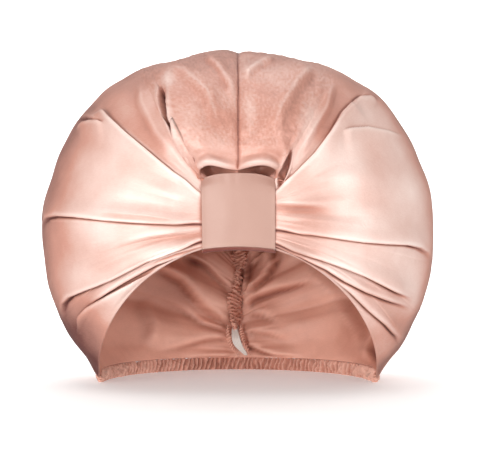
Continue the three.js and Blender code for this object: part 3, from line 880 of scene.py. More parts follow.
# painted light and shade of the crown, as tones from 0 to 1: side panels and gathers at the tab painted
# bright, top and back painted duskier, and shade painted towards the outline, beside the tab, at the front
# edge and on the inner layer near the rim. pairs are for the right and the left panel
crownPaintedLight = {
    "sideStarts": (0.303, 0.345),  # where the side panel that is painted bright begins
    "side": 0.83,
    "top": 0.55,
    "edge": (0.34, 0.2),
    "fallsFrom": (0.66, 0.42),  # where the painted shade begins to fall towards the outline
    "back": 0.55,
    "nearTab": (0.85, 0.75),  # painted brightness of the gathers at the tab
    "tabShade": (0.16, 0.0),
    "frontShade": (0.28, 0.3),  # how much painted shade darkens the front edge
    "inner": 0.88,
    "innerFade": (0.36, 0.24),  # how much painted shade darkens the inner layer at the rim
}
crownMesh = {
    "columns": 331,
    "tuckRows": 20,
    "frontRows": 106,
    "backRows": 56,
    "cornerDip": 4.5,
    "innerStep": 2,  # the inner layer takes every second column
}
# how high the drawn folds stand on their way from the tab, at 0, to the outline, at 1
drawnRun = {
    "atTab": 0.05,  # share of their height that is left at the tab
    "fullAt": 0.13,
    "fadesFrom": 0.78,
    "fadesOver": 0.15,
    "fade": 0.92,
    "hangEnds": 0.93,  # past this no edge hangs over
}
# the photo's own measures: pixels for places in it, mm for the eye's height and distance
photo = {"middle": 238, "eyeRow": 130.1, "eyeHeight": 192, "distance": 1900, "scale": 2483}
# in pixels: how far the tab's sides lie from the middle, its rows, and how far lines run on behind it
tabInPhoto = {"sides": (30, 44), "rows": (165, 256), "leadIn": 18}


def foldFields(folds, share, run):
    lift = np.zeros_like(share)
    shift = np.zeros_like(share)
    dark = np.zeros_like(share)
    for fold in folds + backLobes:
        fromTab = fold["start"] < 0.1
        span = fold["end"] - fold["start"]
        gone = run - fold["start"]
        begin = ease(gone / (min(0.06, span / 2) if fromTab else 0.3))
        grown = mix(0.45, 1.0, ease(gone / 0.3)) if fromTab else 1.0
        finish = ease((fold["end"] - run) / (span / 2))
        shown = wrinkleShape["underFolds"] if fold["start"] < 1 else 1.0
        power = begin * grown * finish * shown
        centre = fold["at"] + fold["sway"] * np.sin(np.pi * np.clip(gone / span, 0, 1))
        off = (share - centre) * fold["lap"]
        fall = fold["fall"] * (mix(1.1, 0.5, ease(run / 0.8)) if fromTab else 1.0)
        w = off / fall
        lift += fold["lift"] * power * np.where(off < 0, ease(1 + off / fold["rise"]), ease(1 - w))
        if fromTab:
            # the foot of a fold from the tab sinks, and shade is painted there
            foot = hump(w, 1.05, 0.5) * power * min(1, fold["lift"] / 5)
            lift -= 0.8 * foot
            dark = np.maximum(dark, foot)
        crest = np.where(w < 1, np.cos(np.pi * np.clip(w, 0, 1)), -ease(2 - w))
        shift += fold["lap"] * fold["under"] * power * np.where(w < 0, ease(1 + w), crest)
    return lift, shift, dark


def inPicture(grid, mirror):
    # where points fall in the photo, in its pixels
    side = -1.0 if mirror else 1.0
    scale = photo["scale"] / (photo["distance"] + grid[..., 1])
    across = photo["middle"] + side * grid[..., 0] * scale
    return across, photo["eyeRow"] + (photo["eyeHeight"] - grid[..., 2]) * scale


def fromBehindTab(line):
    # a line whose first point lies at the tab's side is led on behind the tab
    (x, y), (nextX, nextY) = line[:2]
    near, far = tabInPhoto["sides"]
    top, bottom = tabInPhoto["rows"]
    if not (near < abs(x - photo["middle"]) < far and top < y < bottom):
        return line
    further = tabInPhoto["leadIn"] / math.hypot(x - nextX, y - nextY)
    return [(x + (x - nextX) * further, y + (y - nextY) * further)] + line


def besideLine(line, px, py):
    # distance from a drawn line, positive on its left, how far along it, and the way off its right side
    points = np.array(line, dtype=float)
    legs = np.linalg.norm(np.diff(points, axis=0), axis=1)
    nearest = np.full(px.shape, 1e9)
    signed = np.zeros_like(px)
    along = np.zeros_like(px)
    away = np.zeros(px.shape + (2,))
    done = 0.0
    for a, b, leg in zip(points[:-1], points[1:], legs):
        d = (b - a) / leg
        t = np.clip((px - a[0]) * d[0] + (py - a[1]) * d[1], 0, leg)
        gap = np.hypot(px - a[0] - t * d[0], py - a[1] - t * d[1])
        turn = -(d[0] * (py - a[1]) - d[1] * (px - a[0]))
        closer = gap < nearest
        nearest = np.where(closer, gap, nearest)
        signed = np.where(closer, np.sign(turn) * gap, signed)
        along = np.where(closer, (done + t) / legs.sum(), along)
        away = np.where(closer[..., None], np.array([-d[1], d[0]]), away)
        done += leg
    return signed, along, away


def drawnFolds(creases, px, py):
    # lift, painted shade in the trench, overhang, and crests for a painted highlight, of the creases that
    # are drawn by their points
    lift = np.zeros_like(px)
    dark = np.zeros_like(px)
    over = np.zeros(px.shape + (3,))
    crest = np.zeros_like(px)
    for crease in creases:
        signed, along, away = besideLine(fromBehindTab(crease["line"]), px, py)
        signed = signed * crease["side"]
        away = away * crease["side"]
        power = ease(along / crease["opens"]) * ease((1 - along) / crease["closes"])
        rise, fall = crease["rise"], crease["fall"]
        slope = ease(1 + signed / fall)
        lift += crease["lift"] * power * np.where(signed > 0, hump(signed, 0, rise), slope)
        hang = np.where(signed > 0, hump(signed, 0, 0.3 * rise), slope) * power * crease["over"]
        over[..., 0] += hang * away[..., 0]
        over[..., 2] -= hang * away[..., 1]
        # the trench at the foot of the fall sinks by the groove, and shade is painted into it
        trench = hump(signed, -fall, (1.15 if crease["dark"] > 0.8 else 0.85) * fall) * power
        lift -= crease["groove"] * trench
        dark = np.maximum(dark, crease["dark"] * trench)
        crest = np.maximum(crest, hump(signed, 1.4, 1.5) * power * min(1.0, crease["lift"] / 4))
    return lift, dark, over, crest


def drawnSlots(slots, px, py):
    # spindle-shaped openings between two lips of cloth, with shade painted inside them
    lift = np.zeros_like(px)
    dark = np.zeros_like(px)
    for slot in slots:
        signed, along, _ = besideLine(slot["line"], px, py)
        belly = np.sin(np.pi * np.clip(along, 0, 1) ** slot["bias"]) ** 0.8
        half = slot["half"] * belly
        beyond = np.abs(signed) - half
        inside = ease(0.5 - beyond / 2.2) * ease(half / 0.8)
        lift += slot["lip"] * hump(beyond, 1.6, 1.7) * belly - slot["depth"] * inside
        dark = np.maximum(dark, slot["dark"] * inside)
    return lift, dark


def spots(patches, px, py):
    return sum(
        amount * np.exp(-(((px - x) / wide) ** 2) - ((py - y) / high) ** 2)
        for x, y, wide, high, amount in patches
    )


def columnShares(folds, creases, innerCreases, mirror):
    # more columns where the folds are sharp
    fine = np.linspace(0, 1, 4001)
    weight = np.ones_like(fine)
    for fold in folds:
        weight += 0.3 * hump(fine, fold["at"], fold["fall"] * 1.4) * min(1, fold["lift"] / 4)
    for fold in backLobes:
        weight += 0.6 * hump(fine, fold["at"], fold["fall"])
    for lines, first, amount in ((creases, 0, 0.2), (innerCreases, 1.05, 0.1)):
        share, run = np.meshgrid(np.linspace(0, 1, 260), first + np.linspace(0, 0.95, 70), indexing="ij")
        px, py = inPicture(crownForm(folds, share, run), mirror)
        for crease in lines:
            points = np.array(crease["line"], dtype=float)
            for step in np.linspace(0, len(points) - 1.001, 24):
                x, y = mix(points[int(step)], points[int(step) + 1], step % 1)
                near = np.argmin((px - x) ** 2 + (py - y) ** 2)
                weight += amount * crease["lift"] / 3 * hump(fine, share.ravel()[near], 0.005)
    weight += 2.5 * hump(fine, 0, 0.012) + 2.0 * hump(fine, 1, 0.01)
    total = np.concatenate([[0], np.cumsum((weight[1:] + weight[:-1]) / 2)])
    return np.interp(np.linspace(0, total[-1], crownMesh["columns"]), total, fine)


def smoothRows(grid, weight, rounds):
    for _ in range(rounds):
        soft = grid.copy()
        soft[:, 1:-1] = (grid[:, :-2] + 2 * grid[:, 1:-1] + grid[:, 2:]) / 4
        grid = mix(grid, soft, weight[..., None])
    return grid


def smoothAcross(field, rounds):
    for _ in range(rounds):
        padded = np.concatenate([field[:1], field, field[-1:]])
        field = (padded[:-2] + 2 * padded[1:-1] + padded[2:]) / 4
    return field


def lowestNearby(field, reach):
    low = field.copy()
    for step in range(1, reach + 1):
        low[step:] = np.minimum(low[step:], field[:-step])
        low[:-step] = np.minimum(low[:-step], field[step:])
    return low


def roundedEdge(outer, inner, nextOuter, amount, steps=4):
    # extra columns that carry the outer sheet round the edge to the inner one
    middle, half = (outer + inner) / 2, (outer - inner) / 2
    away = unit(outer - nextOuter) * np.linalg.norm(half, axis=-1, keepdims=True) * amount[:, None]
    return [
        middle + half * math.cos(turn) + away * math.sin(turn)
        for turn in [math.pi * k / (steps + 1) for k in range(1, steps + 1)]
    ]


def closedSheet(name, outer, inner, startEdge, endEdge, mirror, step=1):
    # outer sheet, end edge, inner sheet and start edge make one loop of columns, closed at its ends;
    # the inner sheet takes every step-th column
    inner = inner[::step]
    loop = list(outer) + endEdge + list(inner[::-1]) + startEdge
    grid = np.array(loop)
    n, m = grid.shape[:2]
    points = grid.reshape(-1, 3) * mm
    if mirror:
        points = points * np.array([-1, 1, 1])
    i, j = np.meshgrid(np.arange(n), np.arange(m - 1), indexing="ij")
    k = (i + 1) % n
    quads = np.stack([i * m + j, k * m + j, k * m + j + 1, i * m + j + 1], -1).reshape(-1, 4)
    kind = np.repeat(np.arange(n), m - 1)
    caps = []
    count = len(outer)
    last = count + len(endEdge) + len(inner) - 1
    for row, flip in ((0, True), (m - 1, False)):
        # the two ends are closed by strips between the outer and the inner sheet
        for a in range(len(inner) - 1):
            b = last - a
            strip = [(a * step + q) * m + row for q in range(step + 1)] + [(b - 1) * m + row, b * m + row]
            caps.append(strip if flip else strip[::-1])
        if endEdge:
            ring = [(count - 1 + q) * m + row for q in range(len(endEdge) + 2)]
            caps.append(ring if flip else ring[::-1])
        if startEdge:
            ring = [((last + q) % n) * m + row for q in range(len(startEdge) + 2)]
            caps.append(ring if flip else ring[::-1])
    faces = [tuple(q) for q in quads[:, ::-1].tolist()] + [tuple(c[::-1]) for c in caps]
    if mirror:
        faces = [f[::-1] for f in faces]
    mesh = bpy.data.meshes.new(name)
    mesh.from_pydata(points.tolist(), [], faces)
    mesh.update()
    slots = np.zeros(len(faces), dtype=np.int32)
    slots[: len(kind)] = ((kind >= count + len(endEdge) // 2) & (kind <= last)).astype(np.int32)
    mesh.polygons.foreach_set("material_index", slots)
    mesh.polygons.foreach_set("use_smooth", np.ones(len(faces), dtype=bool))
    return mesh


def setTone(mesh, tones, edgeColumns, step=1):
    outer, inner = tones
    shares = [(k + 1) / (edgeColumns + 1) for k in range(edgeColumns)]
    edge = [mix(outer[-1], inner[-1], share) for share in shares]
    values = np.array([*outer, *edge, *inner[::step][::-1]]).ravel().astype(np.float32)
    values = np.pad(values, (0, len(mesh.vertices) - len(values)), constant_values=1)
    mesh.attributes.new("tone", "FLOAT", "POINT").data.foreach_set("value", values)


def wrinkleLift(share, run, px, py, topPanel, seed):
    # the fine forms of the outer layer, in mm
    wrinkle = wrinkleShape
    # pleats that fan out of the tab and out of the back gather
    pleats = noiseField(share * 46, run * 1.6, seed) + 0.6 * noiseField(share * 95, run * 2.2, seed + 7)
    nearTab = np.exp(-np.clip(run, 0, 9) / 0.22) * ease((run + 0.02) / 0.06) * ease((share - 0.19) / 0.03)
    nearGather = ease((run - 1.45) / 0.4) * ease((2.0 - run) / 0.03)
    lift = pleats * (wrinkle["gather"] * nearTab + wrinkle["backGather"] * nearGather)
    # soft dents, and creases on the top panel
    visible = ease(run / 0.15) * ease((2 - run) / 0.2) * ease((1 - share) / 0.03) * ease(share / 0.03)
    dents = noiseField(share * 7, run * 2.6, seed + 3) + 0.5 * noiseField(share * 15, run * 4.5, seed + 4)
    lift += wrinkle["dents"] * dents * visible
    small = noiseField(px / 7, py / 9, seed + 5) + 0.6 * noiseField(px / 3.6, py / 4.2, seed + 6)
    lift += wrinkle["creases"] * small * topPanel
    nearOutline = hump(run, 0.95, 0.35) * ease((0.42 - share) / 0.1) * ease(share / 0.03)
    lift += wrinkle["lumps"] * nearOutline * noiseField(share * 11, run * 3, seed + 15)
    # the seam sinks between the panels and puckers them
    lift -= wrinkle["seamDip"] * hump(share, 0, 0.008) * ease(run / 0.03 + 0.3)
    beside = hump(share, 0.014, 0.012) * ease(run / 0.05)
    lift += wrinkle["seamPucker"] * beside * noiseField(share * 20, run * 26, seed + 8)
    # the two lobes roll over the tab
    rolled = hump(run, 0.017, 0.022) - 0.5 * hump(run, 0.064, 0.022)
    lift += wrinkle["roll"] * rolled * lipAt(share) ** 0.5
    # fuller where it turns round to the back
    turned = hump(run, 1.0, 0.4) * ease((share - 0.2) / 0.12) * ease((1 - share) / 0.12)
    return lift + wrinkle["turnPuff"] * turned


def innerRelief(inner, share, run, lobes, creases, edge, side, seed):
    # how far the inner layer swells inwards, in mm, and its tone: painted shade near the rim, in hollows
    # and in the creases, a painted highlight on their crests, and patches of painted light and shade
    puff = np.zeros_like(share)
    for lobe in lobes:
        across = share - lobe["at"] + 0.02 * noiseField(share * 3, run * 5, seed + 9)
        shape = np.where(across < 0, ease(1 + across / lobe["rise"]), ease(1 - across / lobe["fall"]))
        reach = ease((run - 1.25) / 0.55) * ease((2.02 - run) / 0.05)
        puff = np.maximum(puff, lobe["height"] * shape**0.8 * reach)
    px, py = inPicture(inner, side == 1)
    inward, dark, _, crest = drawnFolds(creases, px, py)
    behind = ease((run - 1.03) / 0.1) * ease((2.03 - run) / 0.04) * (1 - edge)
    puff = wrinkleShape["innerLobes"] * puff + wrinkleShape["innerFolds"] * inward * behind
    hollow = np.clip(smoothAcross(puff, 12) - puff, -1.2, 4)
    tone = crownPaintedLight["inner"] - crownPaintedLight["innerFade"][side] * ease((1.5 - run) / 0.5) - 0.16 * hollow
    tone += (spots(innerLightAndShadePatches, px, py) + 0.1 * crest - 0.75 * dark) * behind
    return puff, tone


def outerTone(share, run, px, py, lift, added, side, seed):
    # painted light and shade, with a little random drift: 1 where light is painted on the satin, 0 where
    # shade is painted deep in a fold
    starts, edge, fallsFrom = (crownPaintedLight[key][side] for key in ("sideStarts", "edge", "fallsFrom"))
    # the side panels and the gathers at the tab are painted bright and the top duskier, with shade painted
    # beside the tab, towards the outline and over the back
    brightSide = ease((share - starts + 0.012) / 0.024)
    nearTab = crownPaintedLight["nearTab"][side] * ease((0.42 - run) / 0.36) * ease((share - 0.2) / 0.02)
    outward = ease((run - fallsFrom) / (0.96 - fallsFrom))
    tone = mix(crownPaintedLight["top"], crownPaintedLight["side"], np.maximum(brightSide, nearTab))
    tone += 0.1 * noiseField(px / 45, py / 30, seed + 17)
    tone -= crownPaintedLight["tabShade"][side] * brightSide * ease((0.35 - run) / 0.3)
    tone = mix(tone, edge, outward * mix(0.6, 1.0, brightSide))
    tone = np.where(run > 1, mix(edge, crownPaintedLight["back"], ease((run - 1) / 0.4)), tone)
    # a highlight painted along the two rolled lips
    tone += 0.3 * hump(run, 0.012, 0.02) * lipAt(share) ** 0.5
    # the shine patches' painted highlight, painted shade in hollows and painted light on swellings
    hollow = smoothAcross(lift, 14) - lift
    tone += added - 0.12 * np.clip(hollow - 0.2, 0, 3) + 0.05 * np.clip(-hollow - 0.2, 0, 2)
    # painted shade towards the front edge
    frontEdge = ease((share - 0.8) / 0.12) * ease((run - 0.3) / 0.4) * ease((1.02 - run) / 0.16)
    return tone - crownPaintedLight["frontShade"][side] * frontEdge


def makePanel(name, folds, innerLobes, creases, slots, innerCreases, mirror, seed):
    side = 1 if mirror else 0
    lipShape["bias"] = lipShape["sideBias"][side]
    columns = columnShares(folds, creases + slots, innerCreases, mirror)
    rows = np.concatenate(
        [
            -np.linspace(1, 0, crownMesh["tuckRows"], endpoint=False),
            np.linspace(0, 1, crownMesh["frontRows"], endpoint=False) ** 1.25,
            1 + np.linspace(0, 1, crownMesh["backRows"]),
        ]
    )
    share, run = np.meshgrid(columns, rows, indexing="ij")
    lift, shift, foldDark = foldFields(folds, share, run)
    nearRim = ease((run + 0.75) / 0.15) * ease((0.1 - run) / 0.06) * ease((0.27 - share) / 0.05)
    smooth = smoothRows(crownForm(folds, share, run), nearRim, 5)
    form = smoothRows(crownForm(folds, share + shift, run), nearRim, 5)
    normal = gridNormals(smooth)
    normal = normal * (np.sign(np.mean(normal[:, -30:, 1])) or 1.0)  # the back faces +Y
    px, py = inPicture(form, mirror)
    topPanel = ease((0.26 - share) / 0.06) * ease((run - 0.05) / 0.1) * ease((1.5 - run) / 0.4)
    lift = lift + wrinkleLift(share, run, px, py, topPanel, seed)

    # the drawn folds: near the tab they are pressed flat, and towards the outline they run out
    drawn, drawnDark, hang, crest = drawnFolds(creases, px, py)
    slotLift, slotDark = drawnSlots(slots, px, py)
    shown = ease((run + 0.2) / 0.1) * ease((1.04 - run) / 0.04) * ease((1 - share) / 0.02)
    pressed = ease((run + 0.03) / 0.04) * mix(drawnRun["atTab"], 1.0, ease(run / drawnRun["fullAt"]))
    runsOut = ease((run - drawnRun["fadesFrom"]) / drawnRun["fadesOver"])
    pressed = pressed * (1 - drawnRun["fade"] * runsOut)
    lift = lift + (drawn * pressed + slotLift * ease(run / 0.04)) * shown
    hang = hang * (shown * ease((run - 0.02) / 0.1) * ease((drawnRun["hangEnds"] - run) / 0.12))[..., None]
    hang = hang * (np.array([-1, 1, 1]) if mirror else 1)
    # the shine patches crinkle the cloth here, and below they add a painted highlight to its tone
    shine = spots(shinePatches, px, py) * shown
    lift = lift + 1.6 * shine * noiseField(px / 3.2, py / 3.2, seed + 16)
    # cavity is painted shade: in the creases' trenches, in the slots and at the feet of the fans' folds
    cavity = np.maximum(drawnDark, slotDark) * shown
    cavity = np.maximum(cavity, 0.04 * foldDark * ease((1.3 - run) / 0.3))
    # a dark line painted along the sewn line between the panels, and painted shade where the cloth meets
    # the tab
    cavity = np.maximum(cavity, 0.6 * hump(share, 0, 0.0028) * ease(run / 0.05))
    cavity = np.maximum(cavity, 0.5 * ease((0.03 - run) / 0.035) * ease((share - 0.2) / 0.01))

    # seam, gather and lower edges keep the form's own plane
    normal[0, :, 0] = 0
    normal[:, -1, 0] = 0
    normal = unit(normal)
    outer = form + normal * lift[..., None] + hang

    # the inner layer follows more softly and stays below the outer one
    low = lowestNearby(lift, 5)
    innerLift = np.minimum(smoothAcross(low, 10), low + 0.4) - crownShape["wall"]
    edge = np.maximum(ease((share - 0.985) / 0.012), ease((0.006 - share) / 0.005))
    close = np.maximum(edge, ease((0.05 - run) / 0.05))
    innerLift = mix(innerLift, lift - crownShape["wall"], close)
    inner = smooth + normal * innerLift[..., None]
    inner = mix(inner, outer - normal * crownShape["wall"], close[..., None])
    innerX, innerY = inPicture(inner, mirror)
    puff, innerTone = innerRelief(inner, share, run, innerLobes, innerCreases, edge, side, seed)
    nearHem = ease((share - 0.86) / 0.12) * ease((run - 1.03) / 0.04)
    hemRibs = nearHem * noiseField(share * 5, run * 95, seed + 12)
    puckers = 0.9 * ease((run - 1.8) / 0.12) * noiseField(share * 60, run * 6, seed + 10) + 0.8 * hemRibs
    inner = inner - normal * (puff + puckers * (1 - edge))[..., None]

    dip = crownMesh["cornerDip"] * ease((share - 0.95) / 0.05) * hump(run, 0.99, 0.07)
    for sheet in (outer, inner):
        sheet[..., 2] -= dip
        sheet[..., 0] = np.maximum(sheet[..., 0], 0) + crownShape["seamHalf"]
    rim = roundedEdge(outer[-1], inner[-1], outer[-2], ease((1.0 - rows) / 0.05) * 0.95 + 0.1)
    mesh = closedSheet(name, outer, inner, [], rim, mirror, crownMesh["innerStep"])

    # the outer layer's painted light and shade, and its grain, follow the inner layer's places, just behind
    # it
    tone = outerTone(share, run, innerX, innerY, lift + 0.5 * hemRibs, shine, side, seed)
    # a painted highlight on the crests, and painted shade in the cavities and on the tucked cloth under the
    # lobes
    tone = (tone + 0.2 * crest * shown) * (1 - cavity) * (1 - 0.3 * ease((-0.03 - run) / 0.1))
    tone += 0.06 * noiseField(share * 5, run * 3, seed + 13)
    tone += 0.12 * topPanel * noiseField(innerX / 2.1, innerY / 2.4, seed + 18) * ease((1 - run) / 0.2)
    innerTone = np.where(run < 0.04, tone, innerTone)
    setTone(mesh, [np.clip(tone, 0, 1), np.clip(innerTone, 0, 1)], len(rim), crownMesh["innerStep"])
    panel = newObject(name, mesh)
    mesh.materials.append(satin)
    mesh.materials.append(reverse)
    return panel


rightPanel = makePanel(
    "panelRight", rightFolds, rightInner, rightCreases, rightSlots, rightInnerCreases, False, 11
)
leftPanel = makePanel("panelLeft", leftFolds, leftInner, leftCreases, leftSlots, leftInnerCreases, True, 29)
for panel, node in ((rightPanel, "crown_right"), (leftPanel, "crown_left")):
    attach(panel, "root")
    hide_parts(node)
faceCounts = [len(panel.data.polygons) for panel in (rightPanel, leftPanel)]
print("bonnet: crown panels made, with faces:", *faceCounts)

# the tab

tabMesh = {
    "columns": 72,
    "faceRows": 70,
    "bendRows": 14,
    "insideRows": 20,
    "droop": 4.5,  # mm, how far its upper corners hang down
    "curl": 2.6,  # mm, how far they lean back under the lobes
    "skew": 0.9,  # mm, how much narrower it is at its foot, on the left
    "wrinkles": (0.35, 0.25),  # mm, all over and just under the lobes
    "fold": 1.9,  # drop of the lower edge, in walls
}


def makeTab():
    wall = tabShape["wall"]
    bend = wrapDepth / 2 + wall
    across = np.linspace(-1, 1, tabMesh["columns"])
    outward = np.abs(across)
    out = across * tabShape["half"]
    skew = tabMesh["skew"] * ease(-across)
    bottom = tabShape["bottom"] + tabShape["arch"] * (1 - across**2)
    outerRows, innerRows = [], []

    def add(up, depth, innerUp, innerDepth):
        drawnIn = skew * np.clip((tabTop - up) / tabShape["height"], 0, 1)
        outerRows.append(np.stack([out + drawnIn, depth, up], -1))
        innerRows.append(np.stack([out + drawnIn, innerDepth, innerUp], -1))

    for share in np.linspace(1, 0.02, tabMesh["faceRows"]):
        up = mix(bottom, tabTop - tabMesh["droop"] * outward**3, share)
        # the face hollows slightly between its two edges, and wrinkles under the lobes
        overall, underLobes = tabMesh["wrinkles"]
        soft = overall * noiseField(out / 14, up / 22, 3)
        soft = soft + underLobes * ease((share - 0.7) / 0.3) * noiseField(out / 4, up / 12, 5)
        curl = tabMesh["curl"] * ease((share - 0.86) / 0.14) * outward**2
        edge = 0.35 - 0.35 * hump(outward, 1, 0.06)
        depth = tabFaceAt(out, up) + soft * ease((1 - outward) / 0.2) + edge + curl
        add(up, depth, up, depth + wall)
    for step in range(tabMesh["bendRows"] + 1):
        turn = step / tabMesh["bendRows"] * math.pi
        middle = tabFaceAt(out, bottom) + bend
        lift = bottom + wall * 1.2
        add(
            lift - wall * tabMesh["fold"] * math.sin(turn),
            middle - bend * math.cos(turn),
            lift + wall * 0.1 * (1 - math.sin(turn)),
            middle - wrapDepth / 2 * math.cos(turn),
        )
    for share in np.linspace(0.06, 1, tabMesh["insideRows"]):
        up = bottom + tabShape["inside"] * share
        face = tabFaceAt(out, up) + wall + wrapDepth
        add(up, face + wall, up, face)
    outer = np.stack(outerRows, 1)
    inner = np.stack(innerRows, 1)
    ones = np.full(outer.shape[1], 0.9)
    startEdge = roundedEdge(inner[0], outer[0], outer[1], ones)
    endEdge = roundedEdge(outer[-1], inner[-1], outer[-2], ones)
    mesh = closedSheet("frontTab", outer, inner, startEdge, endEdge, False)
    # painted shade under the lobes and below the fold, with a painted highlight along the fold
    row = np.arange(outer.shape[1])[None, :] * np.ones((len(across), 1))
    beyond = row - tabMesh["faceRows"]
    tones = 1 - 0.35 * ease(1 - row / (0.3 * tabMesh["faceRows"])) * (0.4 + 0.6 * outward[:, None])
    tones += 0.1 * hump(beyond, -3, 2) - 0.95 * ease((beyond + 1) / 2)
    setTone(mesh, [tones, tones], len(endEdge))
    tab = newObject("frontTab", mesh)
    mesh.materials.append(tabSatin)
    mesh.materials.append(tabSatin)
    return tab


tab = makeTab()
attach(tab, "root")
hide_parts("front_tab")
print("bonnet: tab made")

# gathered casings and stitches, with geometry nodes


def pathObject(name, points):
    mesh = bpy.data.meshes.new(name)
    places = [tuple(p * mm for p in point) for point in points]
    mesh.from_pydata(places, [(i, i + 1) for i in range(len(places) - 1)], [])
    return newObject(name, mesh)


def newTree(name, **sizes):
    # a tree with its geometry, its sizes and its material as named inputs
    tree = bpy.data.node_groups.new(name, "GeometryNodeTree")
    ids = {}
    for label, value in {"Geometry": None, **sizes, "Material": None}.items():
        kind = label if value is None else ("Int" if isinstance(value, int) else "Float")
        socket = tree.interface.new_socket(name=label, in_out="INPUT", socket_type="NodeSocket" + kind)
        if value is not None:
            socket.default_value = value
        ids[label] = socket.identifier
    tree.interface.new_socket(name="Geometry", in_out="OUTPUT", socket_type="NodeSocketGeometry")
    return tree, ids, tree.nodes.new("NodeGroupInput").outputs


def finishTree(tree, given, geometry):
    soft = addNode(tree, "GeometryNodeSetShadeSmooth", Geometry=geometry)
    whole = addNode(tree, "GeometryNodeRealizeInstances", Geometry=soft.outputs["Geometry"])
    material = given["Material"]
    paint = addNode(tree, "GeometryNodeSetMaterial", Geometry=whole.outputs["Geometry"], Material=material)
    addNode(tree, "NodeGroupOutput", Geometry=paint.outputs["Geometry"])


def keepField(tree, geometry, label, field):
    kept = addNode(tree, "GeometryNodeCaptureAttribute", {"domain": "POINT"}, Geometry=geometry)
    kept.capture_items.new("FLOAT", label)
    tree.links.new(field, kept.inputs[label])
    return kept.outputs["Geometry"], kept.outputs[label]


def buildRuffleTree():
    # a tube of cloth along a path, gathered into ruffles
    tree, ids, given = newTree(
        "gathered casing",
        Ruffles=40.0,
        Depth=0.0008,
        Thickness=0.0045,
        Height=0.009,
        Slant=0.5,
        Unevenness=2.0,
        Steps=400,
    )

    def node(kind, settings=None, **inputs):
        return addNode(tree, kind, settings, **inputs)

    def times(a, b):
        return mathNode(tree, "MULTIPLY", a, b)

    def plus(a, b):
        return mathNode(tree, "ADD", a, b)

    def minus(a, b):
        return mathNode(tree, "SUBTRACT", a, b)

    toCurve = node("GeometryNodeMeshToCurve", Mesh=given["Geometry"])
    resample = node("GeometryNodeResampleCurve", Curve=toCurve.outputs["Curve"], Count=given["Steps"])
    upright = node("GeometryNodeSetCurveNormal", {"mode": "Z_UP"}, Curve=resample.outputs["Curve"])
    spline = node("GeometryNodeSplineParameter").outputs
    length = node("GeometryNodeSplineLength").outputs["Length"]
    # the ends close to a rounded tip
    fromEnd = mathNode(tree, "MINIMUM", spline["Length"], minus(length, spline["Length"]))
    taper = mapRange(tree, fromEnd, (-0.003, 0.012), (0.0, 1.0), "SMOOTHERSTEP")
    tapered = node("GeometryNodeSetCurveRadius", Curve=upright.outputs["Curve"], Radius=taper)
    path, along = keepField(tree, tapered.outputs["Curve"], "along", spline["Factor"])
    circle = node("GeometryNodeCurvePrimitiveCircle", Resolution=22, Radius=1.0)
    ring, around = keepField(tree, circle.outputs["Curve"], "round", spline["Factor"])
    thick = times(given["Thickness"], 0.5)
    high = times(given["Height"], 0.5)
    halves = node("ShaderNodeCombineXYZ", X=thick, Y=high, Z=1.0)
    profile = node("GeometryNodeTransform", Geometry=ring, Scale=halves.outputs["Vector"])
    tube = node(
        "GeometryNodeCurveToMesh",
        Curve=path,
        Profile_Curve=profile.outputs["Geometry"],
        Scale=node("GeometryNodeInputRadius").outputs["Radius"],
        Fill_Caps=True,
    )
    # ruffles lean to one side, and wander
    place = node("GeometryNodeInputPosition").outputs["Position"]
    wander = times(minus(noiseNode(tree, place, 120.0, 2.0), 0.5), given["Unevenness"])
    phase = times(times(along, given["Ruffles"]), 2 * math.pi)
    lean = times(times(mathNode(tree, "SINE", times(around, 2 * math.pi)), given["Slant"]), math.pi)
    wave = mathNode(tree, "SINE", plus(plus(phase, lean), times(wander, 2.2)))
    peaks = mathNode(tree, "POWER", mathNode(tree, "ABSOLUTE", wave), 0.7)
    swell = plus(minus(1.0, times(peaks, 2.0)), times(wander, 0.8))
    push = node("ShaderNodeVectorMath", {"operation": "SCALE"}, Scale=times(swell, given["Depth"]))
    tree.links.new(node("GeometryNodeInputNormal").outputs["Normal"], push.inputs[0])
    flatter = node("ShaderNodeVectorMath", {"operation": "MULTIPLY"})
    tree.links.new(push.outputs["Vector"], flatter.inputs[0])
    flatter.inputs[1].default_value = (1.0, 1.0, 0.22)
    moved = node("GeometryNodeSetPosition", Geometry=tube.outputs["Mesh"], Offset=flatter.outputs["Vector"])
    # painted shade in the ruffles' valleys, kept as their tone
    toned = node(
        "GeometryNodeStoreNamedAttribute",
        {"data_type": "FLOAT", "domain": "POINT"},
        Geometry=moved.outputs["Geometry"],
        Name="tone",
        Value=mapRange(tree, swell, (-0.9, 0.5), (0.35, 1.0)),
    )
    finishTree(tree, given, toned.outputs["Geometry"])
    return tree, ids


def buildStitchTree():
    # one small oval of thread at each step of a path
    tree, ids, given = newTree("stitch row", Pitch=0.003, Length=0.0021, Thread=0.0005)
    curve = addNode(tree, "GeometryNodeMeshToCurve", Mesh=given["Geometry"]).outputs["Curve"]
    pitch = given["Pitch"]
    points = addNode(tree, "GeometryNodeCurveToPoints", {"mode": "LENGTH"}, Curve=curve, Length=pitch)
    bead = addNode(tree, "GeometryNodeMeshUVSphere", Segments=6, Rings=5, Radius=0.5)
    tangent = points.outputs["Tangent"]
    turn = addNode(tree, "FunctionNodeAlignRotationToVector", {"axis": "Z"}, Vector=tangent)
    size = addNode(tree, "ShaderNodeCombineXYZ", X=given["Thread"], Y=given["Thread"], Z=given["Length"])
    stitches = addNode(
        tree,
        "GeometryNodeInstanceOnPoints",
        Points=points.outputs["Points"],
        Instance=bead.outputs["Mesh"],
        Rotation=turn.outputs["Rotation"],
        Scale=size.outputs["Vector"],
    )
    finishTree(tree, given, stitches.outputs["Instances"])
    return tree, ids


